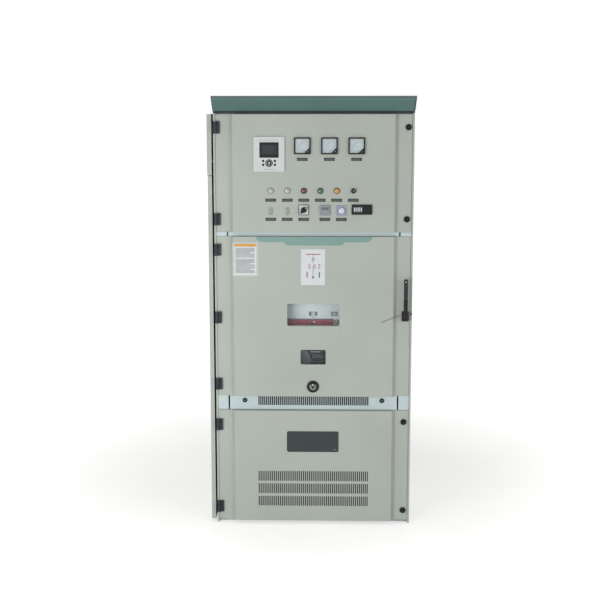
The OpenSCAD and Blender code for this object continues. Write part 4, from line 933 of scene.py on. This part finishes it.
right_half = [(BADGE_X + dx, BADGE_TOP - down) for dx, down in BADGE_STEPS]
left_half = [(BADGE_X - dx, BADGE_TOP - down) for dx, down in reversed(BADGE_STEPS)]
made = Piece("badge", "middle_door")
made.slab(right_half + left_half, RAISED_Y, RAISED_Y - 1.5, badge_paint, 0.3)
made.finish("strip_paint", ["breaker_plates"])

# %% [markdown]
# A laminated card shows a single-line diagram, the general one for a bay with a withdrawable
# breaker: a bar at the top, the contacts that part, three pairs of rings for the current
# transformers, and an arrow to the cable. The lines could be curves, but flat bars a fraction of a
# millimetre thick lie on the card like ink and keep their width.

# %% Middle door: diagram card
DIAGRAM_X, DIAGRAM_Z = -2, 1351
CARD_Y = RAISED_Y - 2
CONTACT_LEAN = 44


def printed(made, x, z, wide, high, ink=ink_and_shade_black, base=CARD_Y):
    made.plate(x, z, wide, high, base, base - PRINT_THICK, ink)


made = Piece("diagram_card", "middle_door")
made.plate(DIAGRAM_X, DIAGRAM_Z, 122, 182, RAISED_Y, CARD_Y, card_white, 1.5, 0.3)
printed(made, DIAGRAM_X, 1416, 74, 4, print_red)
for z, high, ink in ((1404, 20, print_red), (1378, 16, print_red), (1352, 16, ink_and_shade_black),
                     (1318, 56, ink_and_shade_black)):
    printed(made, DIAGRAM_X, z, 2.2, high, ink)
for dz in (-3, 3):
    for dx in (-4, 4):
        lean = 90 + math.copysign(CONTACT_LEAN, dx * dz)
        made.slab(bar_outline(DIAGRAM_X + dx, 1390 + dz, 10, 1.6, 1.6, lean), CARD_Y,
                  CARD_Y - PRINT_THICK, ink_and_shade_black)
for dx, ink in ((-18, print_red), (8, print_red), (30, ink_and_shade_black)):
    for z in (1362, 1349):
        made.bezel(circle(DIAGRAM_X + dx, z, 5.5, 20), circle(DIAGRAM_X + dx, z, 3.7, 20),
                   CARD_Y, CARD_Y - PRINT_THICK, ink)
for dx, ink in ((-30, print_red), (32, ink_and_shade_black)):
    printed(made, DIAGRAM_X + dx, 1312, 5, 30, ink)
made.slab([(DIAGRAM_X - 6, 1304), (DIAGRAM_X + 6, 1304), (DIAGRAM_X, 1290)], CARD_Y,
          CARD_Y - PRINT_THICK, ink_and_shade_black)
made.finish("plate_print", ["breaker_plates"])

# %% [markdown]
# The notice card has a pale frame and an ochre bar over ruled lines, and four small discs hold it.
# The lines could be bars in a texture, but thin plates laid out by a loop stay crisp from any
# distance and need no picture.

# %% Middle door: notice card
NOTICE_X, NOTICE_Z = -342, 1390
NOTICE_Y, NOTICE_FACE = RAISED_Y - 1, RAISED_Y - 1.2
LINES, LINE_PITCH, EMPTY_LINE, LINE_LONG, SHORTER_BY = 23, 5.6, 9, 96, 22

made = Piece("notice_card", "middle_door")
made.plate(NOTICE_X, NOTICE_Z, 130, 172, RAISED_Y, NOTICE_Y, pane_border, 8, 0.2)
made.plate(NOTICE_X, NOTICE_Z - 2, 110, 156, NOTICE_Y, NOTICE_FACE, card_white, 1)
printed(made, NOTICE_X, NOTICE_Z + 71, 112, 13, print_ochre, NOTICE_FACE)
for row in range(LINES):
    if row != EMPTY_LINE:
        short = SHORTER_BY if row % 5 == 4 else 0
        printed(made, NOTICE_X - 2 - short / 2, NOTICE_Z + 56 - LINE_PITCH * row,
                LINE_LONG - short, 2.4, print_dark_grey, NOTICE_FACE)
for dx in (-58, 58):
    for dz in (-78, 78):
        made.turned(NOTICE_X + dx, NOTICE_Z + dz, [(4.5, 0.9), (4.5, 1.3), (3, 1.8)], white_abs,
                    segments=20)
made.finish("plate_print", ["breaker_plates"])

# %% [markdown]
# Behind the large window stands the front of the breaker: a pale panel with two small indicator
# frames, a red band along its foot and the ON and OFF push buttons. These pieces ride on the truck,
# so they move back with it as it is racked in. The buttons move through the panel, so it needs two
# real holes. A Boolean cut would leave long thin faces there; the panel is laid out instead as
# rectangles round two plates that have a round hole each.

# %% Breaker front: panel with two button holes
PANEL_BACK, PANEL_FACE = -690.2, -693
BUTTON_BASE = -690
ON_BUTTON, OFF_BUTTON = (107, 1099), (118, 1058)
HOLE_RADIUS = 9.6


def span(made, left, right, low, high, back, proud, material, radius=0.0, bevel=0.0):
    """A plate given by its four edges, from depth back to proud mm in front of it."""
    made.plate((left + right) / 2, (low + high) / 2, right - left, high - low, back, back - proud,
               material, radius, bevel)


made = Piece("breaker_front_panel", "truck")
for left, right, low, high in ((-280, 91, 969, 1199), (134, 280, 969, 1199), (91, 134, 969, 1045),
                               (91, 134, 1112, 1199), (91, 102, 1045, 1071),
                               (123, 134, 1086, 1112)):
    span(made, left, right, low, high, PANEL_BACK, PANEL_BACK - PANEL_FACE, breaker_panel)
for place in (ON_BUTTON, OFF_BUTTON):
    made.bezel(rounded(*place, 32, 26, 0.01, 7), circle(*place, HOLE_RADIUS), PANEL_BACK,
               PANEL_FACE, breaker_panel)
made.plate(112.5, 1078.5, 43, 15, PANEL_BACK, PANEL_FACE, breaker_panel)

# %% [markdown]
# A grey frame and a black ring lie round the two buttons, and the red band under them breaks where
# the OFF button comes through. The print could be colours on the panel, but small steps of a
# millimetre catch the light behind the window, so all of it is raised. Each button's pale face
# rides on its own button.

# %% Breaker front: frames, band and buttons
FRAME_PROUD = 1.5

made.bezel(rounded(*ON_BUTTON, 36, 23, 3, 7), circle(*ON_BUTTON, HOLE_RADIUS + 0.2), PANEL_FACE,
           PANEL_FACE - FRAME_PROUD, print_grey, 0.4)
made.bezel(circle(*OFF_BUTTON, 12.2), circle(*OFF_BUTTON, HOLE_RADIUS + 0.2), PANEL_FACE,
           PANEL_FACE - FRAME_PROUD, ink_and_shade_black, 0.4)
for left, right in ((-280, 104), (132, 280)):
    span(made, left, right, 1040, 1068, PANEL_FACE, 1, red_band, 1, 0.3)
    span(made, left, right, 1069, 1073, PANEL_FACE, 1.5, ink_and_shade_black, 0, 0.3)
made.plate(-3, 1051, 16, 14, PANEL_FACE - 1, PANEL_FACE - 2, ink_and_shade_black, 1)
made.plate(2, 1056, 12, 8, PANEL_FACE - 2, PANEL_FACE - 2.6, card_white, 1)
made.plate(-2, 1099, 44, 22, PANEL_FACE, PANEL_FACE - 1.2, print_grey, 2, 0.3)
made.plate(-2, 1099, 16, 18, PANEL_FACE - 1.2, PANEL_FACE - 1.5, card_white)
for x in (-19, 15):
    made.plate(x, 1099, 8, 20, PANEL_FACE - 1.2, PANEL_FACE - 1.5, dish_grey, 1)
made.plate(-2, 1080, 18, 3, PANEL_FACE, PANEL_FACE - 0.3, print_grey)
made.finish("white_plastic")

for name, place, slot in (("on", ON_BUTTON, "green_plastic"), ("off", OFF_BUTTON, "red_plastic")):
    made = Piece(name + "_button_face", name + "_button_body")
    made.turned(*place, [(7, 4.5), (7, 5.6), (5.5, 6)], card_white, BUTTON_BASE)
    made.finish(slot)

# %% [markdown]
# The small window looks at a black plate with a counter of five tiles on it, and a lighter plate on
# its left paints the glare reflected in the pane. The tiles are a centimetre wide and stand a
# hand's width behind the pane, so flat plates are enough there, and only their height above the
# plate is kept, for the fine shadow round each.

# %% Breaker front: counter
COUNTER_FACE = BUTTON_BASE - 6
DIGITS, DIGIT_PITCH = 5, 11

made = Piece("counter", "truck")
made.plate(0, 885, 190, 130, BUTTON_BASE + 0.2, COUNTER_FACE, black_abs, 3, 1)
# A lighter plate on the left is a painted reflection of glare on the pane.
made.slab([(-75, 832), (-22, 832), (-14, 858), (-22, 884), (-38, 910), (-75, 910)], COUNTER_FACE,
          COUNTER_FACE - 2, counter_painted_glare, 0.6)
made.plate(10, 900, 52, 3.4, COUNTER_FACE, COUNTER_FACE - 0.6, card_white)
for i in range(DIGITS):
    made.plate(-2 + DIGIT_PITCH * i, 877, 9, 20, COUNTER_FACE, COUNTER_FACE - 0.8, label_ink, 1)
made.plate(10, 848, 60, 2.4, COUNTER_FACE, COUNTER_FACE - 0.4, print_dark_grey)
made.finish("black_plastic")

# %% [markdown]
# The racking hole has a thick black escutcheon round a grey dish. The flap hangs over the hole from
# a pin: a grey disc with a black wedge that points down, and a pale rivet below the pin. The
# escutcheon could be a solid disc, because the flap hides the hole, but the flap swings aside, so
# it is made of rings with the hole left open.

# %% Middle door: racking hole
RACK_X, RACK_Z = -2, 735
HOLE_EDGE, DISH_EDGE, RIM_EDGE = 14, 18.5, 30.5
FLAP_BASE = RAISED_Y - 9
FLAP_PIN_Z, RIVET_Z = RACK_Z + 21, RACK_Z + 10.5

made = Piece("racking_escutcheon", "middle_door")
for outer, inner, back, front, material, bevel in (
        (RIM_EDGE, DISH_EDGE - 0.1, RAISED_Y, FLAP_BASE, black_abs, 2.5),
        (DISH_EDGE, HOLE_EDGE, RAISED_Y, RAISED_Y - 7.5, dish_grey, 0),
        (HOLE_EDGE + 1.9, HOLE_EDGE, RAISED_Y + 20, RAISED_Y, black_abs, 0)):
    made.bezel(circle(RACK_X, RACK_Z, outer, 48), circle(RACK_X, RACK_Z, inner, 48), back, front,
               material, bevel)
made.finish("black_plastic", ["escutcheon"])

made = Piece("racking_flap", "keyhole_flap_body")
made.turned(RACK_X, RACK_Z, [(16, 0.5), (16, 1.8), (15.2, 2.4)], dish_grey, FLAP_BASE)
wedge = [(-3, -8), (3, -8), (8, 6), (11.5, 24.5), (-11.5, 24.5), (-8, 6)]
made.slab([(RACK_X + dx, RACK_Z + dz) for dx, dz in wedge], FLAP_BASE - 0.5, FLAP_BASE - 3.5,
          knob_lacquer, 0.6)
made.turned(RACK_X, FLAP_PIN_Z, [(2.5, -8.5), (2.5, 0.4), (6, 0.5), (6, 4), (4.4, 4.6)],
            knob_lacquer, FLAP_BASE, 24)
made.turned(RACK_X, RIVET_Z, [(4.8, 3.4), (4.8, 4.1), (3.6, 4.6)], pane_border, FLAP_BASE, 24)
made.finish("hinge_casting", ["keyhole_flap"])

# %% [markdown]
# The door handle is a die casting: a square base with a cover, and a long lever on a shaft. The
# base tapers as a casting must, to leave its mould. Bevels on a cube would give every edge the same
# width, so it is skinned through outlines that shrink with depth, down to the round hole for the
# shaft.

# %% Middle door: handle base
HANDLE_X, HANDLE_Z = 465.5, 1098.5
BASE_FRONT = STRIP_Y - 27
SHAFT_HOLE = 6.1

made = Piece("handle_base_casting", "middle_door")
foot = rounded(HANDLE_X, HANDLE_Z, 37, 51, 6, 8)
hole = circle(HANDLE_X, HANDLE_Z, SHAFT_HOLE, len(foot))
made.stack([(foot, STRIP_Y), (foot, STRIP_Y - 8), (scaled(foot, 1.5), STRIP_Y - 9.5),
            (scaled(foot, 2.5), BASE_FRONT + 3), (scaled(foot, 5), BASE_FRONT),
            (hole, BASE_FRONT), (hole, STRIP_Y), (foot, STRIP_Y)], knob_lacquer, capped=False)
made.finish("hinge_casting", ["handle_base"])

# %% [markdown]
# The lever has a softly rounded face, a blue-grey upper half and a black lower half, and a pale
# button near the tip. It could be one subdivided box, but then the tip would not be a true half
# circle, so each half is a stack of rounded outlines. It turns a quarter turn to the left on a
# shaft that carries a pinion behind the door.

# %% Middle door: handle lever
LEVER_WIDE = 21
LEVER_LOW, LEVER_HIGH = HANDLE_Z - 10.4, HANDLE_Z + 194.4
LEVER_BACK, LEVER_FRONT = BASE_FRONT - 0.5, BASE_FRONT - 14.5
BUTTON_Z = HANDLE_Z + 180

made = Piece("handle_lever_casting", "handle_lever_body")
for low, high, material in ((LEVER_LOW, HANDLE_Z + 96, knob_lacquer),
                            (HANDLE_Z + 88, LEVER_HIGH, hinge_lacquer)):
    made.stack([(rounded(HANDLE_X, (low + high) / 2, LEVER_WIDE - 2 * inset,
                         high - low - 2 * inset, LEVER_WIDE / 2 - inset - 0.1, 6), y)
                for inset, y in ((0.6, LEVER_BACK), (0, LEVER_BACK - 2), (0, LEVER_FRONT + 5),
                                 (1.6, LEVER_FRONT + 1.6), (4.5, LEVER_FRONT))], material)
made.turned(HANDLE_X, HANDLE_Z, [(6, -22), (6, 27.4), (15, 27.5), (15, 37), (11, 41.4)],
            knob_lacquer, STRIP_Y, 40)
made.turned(HANDLE_X, HANDLE_Z, [(8, -6), (8, -20)], turned_steel, STRIP_Y)
made.turned(HANDLE_X, BUTTON_Z, [(9.5, 13.8), (9.5, 14.2), (7, 14.6)], knob_lacquer, LEVER_BACK,
            28)
made.turned(HANDLE_X, BUTTON_Z, [(4.4, 13.8), (4.4, 14.7), (3.4, 15)], print_grey, LEVER_BACK, 24)
made.finish("hinge_casting", ["handle_lever"])

# %% [markdown]
# A thin sealing wire hangs from the handle base and lies across the door to the left; its crimped
# seal sticks out to the right. A curve with a round bevel would make it too. A tube swept along
# points was chosen because each point can be set to rest on the door face, and it is a plain mesh
# from the start.

# %% Middle door: sealing wire
WIRE_RADIUS, WIRE_SIDES = 1.1, 10
WIRE_PATH = [(498, -757, 1112), (490, -757, 1112), (484, -760, 1110), (480, -770, 1108),
             (466, -778.6, 1106), (450, -778.6, 1109), (440, -776, 1106), (420, -774, 1099),
             (398, -774, 1091), (372, -774.2, 1080), (345, -774, 1069)]


def tube(made, path, radius, material, sides):
    """Sweeps a circle along a path of 3-D points in mm."""
    points = [Vector(point) for point in path]
    loops = []
    for before, point, after in zip(points[:1] + points, points, points[1:] + points[-1:]):
        along = (after - before).normalized()
        across = along.cross(Vector((0, 0, 1))).normalized()
        over = across.cross(along)
        loops.append([point + radius * (math.cos(turn) * across + math.sin(turn) * over)
                      for turn in (2 * math.pi * k / sides for k in range(sides))])
    made.rings(loops, material, smooth=True)


made = Piece("sealing_wire", "middle_door")
tube(made, WIRE_PATH, WIRE_RADIUS, seal_wire, WIRE_SIDES)
made.turned(495, 1111, [(3, 3), (5, 4.5), (5, 8.5), (3, 10)], knob_lacquer, STRIP_Y, 20)
made.plate(485.5, 1113, 8, 6, STRIP_Y - 6, STRIP_Y - 9, white_abs, 1.5, 0.6)
made.finish("hinge_casting")
wire_mm = sum(math.dist(a, b) for a, b in zip(WIRE_PATH, WIRE_PATH[1:]))
print("sealing wire, length in mm:", round(wire_mm))

# %% [markdown]
# The lintel leans forward from its foot to a narrow upright edge, and it is a little wider at the
# top than at the foot. A block could be sheared into this shape, but its section, the way it is
# folded from sheet, says more, so the section is drawn once and skinned between the two ends. A
# grey on the top edge, a lighter green band below the fold and strips at both ends are painted
# light and shade, and a black strip of painted shadow fills the gap above the upper door.

# %% Lintel
LINTEL_FOOT, LINTEL_FOLD, LINTEL_TOP = 2126, 2191, 2200
FOOT_HALF, TOP_WIDER = 500.5, 4.3
BACK_Y, FOOT_Y, FOLD_Y = -748, -762, -806
SHELL_INSET = 0.4
BAND_LOW, BAND_HIGH = 2178, 2190.6


def rise(z):
    """How far up the leaning face height z lies: nought at its foot and one at its fold."""
    return (z - LINTEL_FOOT) / (LINTEL_FOLD - LINTEL_FOOT)


def face_y(z):
    return FOOT_Y + (FOLD_Y - FOOT_Y) * rise(z)


def across_lintel(made, section, material, left=-1.0, right=1.0):
    """Skins a (y, z) section between two places, given as shares of the lintel's half width."""
    made.rings([[(share * (FOOT_HALF + TOP_WIDER * rise(min(z, LINTEL_FOLD))), y, z)
                 for y, z in section] for share in (left, right)], material)


made = Piece("lintel_sheet", "cabinet")
across_lintel(made, [
    (BACK_Y, LINTEL_FOOT), (FOOT_Y + 2, LINTEL_FOOT), (FOOT_Y + SHELL_INSET, 2127.5),
    (face_y(2189) + SHELL_INSET, 2189), (FOLD_Y + SHELL_INSET, 2192),
    (FOLD_Y + SHELL_INSET, 2197.5), (FOLD_Y + 1.6, 2199.4), (FOLD_Y + 4, LINTEL_TOP),
    (BACK_Y, LINTEL_TOP)], lintel_paint)
for low, high, material, left, right in (
        # A lighter green band below the fold is a painted highlight.
        (BAND_LOW, BAND_HIGH, lintel_fold_highlight, -1.0, 1.0),
        # A grey strip at the left end is painted light and shade on the end face.
        (LINTEL_FOOT + 2, BAND_LOW, lintel_edge_shading, -1.0, -0.993),
        # A near-black strip at the right end is painted shade.
        (LINTEL_FOOT + 2, BAND_HIGH, shadow_black, 0.99, 1.0)):
    across_lintel(made, [(face_y(low), low), (face_y(high), high), (face_y(high) + 1, high),
                         (face_y(low) + 1, low)], material, left, right)
# The grey strip on the top edge paints the light on the chamfer.
made.plate(0, 2195, 1009, 7, FOLD_Y + 1, FOLD_Y, lintel_edge_shading)
# A black strip paints the shadow in the gap above the upper door.
made.plate(0, 2120.8, 996, 9, -746, -761, shadow_black, 0, 0.5)
made.finish("lintel_paint", ["lintel"])

# %% [markdown]
# Behind the slots lie filter mats in a near black that paints the shade inside, so no light from
# inside shows through. Their fibres are left to the material, since only thin stripes of the mats
# show between the slots. The two vent knobs have a lacquered rim and a coin slot, with two small
# printed marks beside each on the strip.

# %% Filters and vent knobs
FILTER_WIDE, FILTER_THICK = 580, 3.6
VENT_Y, VENT_Z, VENT_KNOB_X, VENT_MARK_X = -748, 656, 352, 27
COIN_SLOT_TURN = 40

for name, body, z, high, y in (("vent_filter", "cabinet", 653.5, 52, -742),
                               ("door_filter", "lower_door", 191.5, 200, -766)):
    made = Piece(name, body)
    # Near-black mats, painted shade behind the slots.
    made.plate(0, z, FILTER_WIDE, high, y, y - FILTER_THICK, filter_mat_shade)
    made.finish("black_plastic")

marks = Piece("vent_marks", "cabinet")
for name, x in (("left", -VENT_KNOB_X), ("right", VENT_KNOB_X)):
    made = Piece("vent_knob_dressed_" + name, f"vent_knob_{name}_body")
    made.turned(x, VENT_Z, [(5, -15), (5, 0.4), (12, 0.5), (12, 4.4), (10.6, 6.2), (9.4, 6.4),
                            (9, 5.4)], knob_lacquer, VENT_Y)
    made.slab(bar_outline(x, VENT_Z, 13, 2.4, 2.4, COIN_SLOT_TURN), VENT_Y - 5.3, VENT_Y - 5.9,
              dish_grey)
    made.plate(x, VENT_Z + 5.5, 8, 21, VENT_Y + 11, VENT_Y + 8, turned_steel, 1)
    made.finish("hinge_casting", ["vent_knob_" + name])
    for dx in (-VENT_MARK_X, VENT_MARK_X):
        printed(marks, x + dx, VENT_Z - 1, 5, 2.4, print_grey, VENT_Y)
marks.finish("plate_print")

# %% [markdown]
# Small painted screws hold the windows; at the main one a black screw replaces the lower right one,
# as in the photograph. Two screws hold each door leaf of a hinge. Larger screws with bright heads
# fix the right wall and the roof sheet to the posts behind them. All come from the screw tree, and
# only their points, radius and finish differ, so a row of them is a single line.

# %% Screws of the windows, hinges, wall and roof
WINDOW_SCREW, HINGE_SCREW, SHEET_SCREW = 2.4, 4, 6
BESIDE_WINDOW, PAST_WINDOW = 7, 9
HINGE_X, HINGE_Y, HINGE_SCREW_Z = -473, -760, 19
WALL_X, ROOF_Z = 500, 2126
WALL_SCREWS, WALL_PITCH = 11, 200

for name, body, x, z, wide, high in (("main", "middle_door", 0, 1106, 265, 114),
                                     ("counter", "middle_door", -1, 888, 128, 76),
                                     ("cable", "lower_door", -2.5, 443, 267, 111)):
    corners = [(x + sx * (wide / 2 + BESIDE_WINDOW), RAISED_Y, z + sz * (high / 2 + PAST_WINDOW))
               for sx, sz in ((-1, -1), (-1, 1), (1, 1), (1, -1))]
    screws("window_screws_" + name, corners[:3], FRONT, WINDOW_SCREW, body, body_paint)
    screws("window_screw_bare_" + name, corners[3:], FRONT, WINDOW_SCREW, body,
           knob_lacquer if name == "main" else body_paint)
for body, heights in (("upper_door", (2046, 1590)), ("middle_door", (1436, 1090, 744)),
                      ("lower_door", (529, 89))):
    screws("hinge_screws_" + body, [(HINGE_X, HINGE_Y, z + dz) for z in heights
                                    for dz in (-HINGE_SCREW_Z, HINGE_SCREW_Z)],
           FRONT, HINGE_SCREW, body, hinge_lacquer)
screws("wall_screws", [(WALL_X, y, WALL_PITCH * (i + 0.5)) for y in (-700, 725)
                       for i in range(WALL_SCREWS)], RIGHT, SHEET_SCREW, "cabinet")
screws("roof_screws", [(x, y, ROOF_Z) for x in (-470, 0, 470) for y in (-540, 15, 345, 735)],
       UP, SHEET_SCREW, "cabinet")
made = Piece("pane_stud", "lower_door")
made.turned(111, 400, [(3, -2.2), (3, -1.2), (2, -0.8)], print_grey, segments=20)
made.finish("white_plastic")
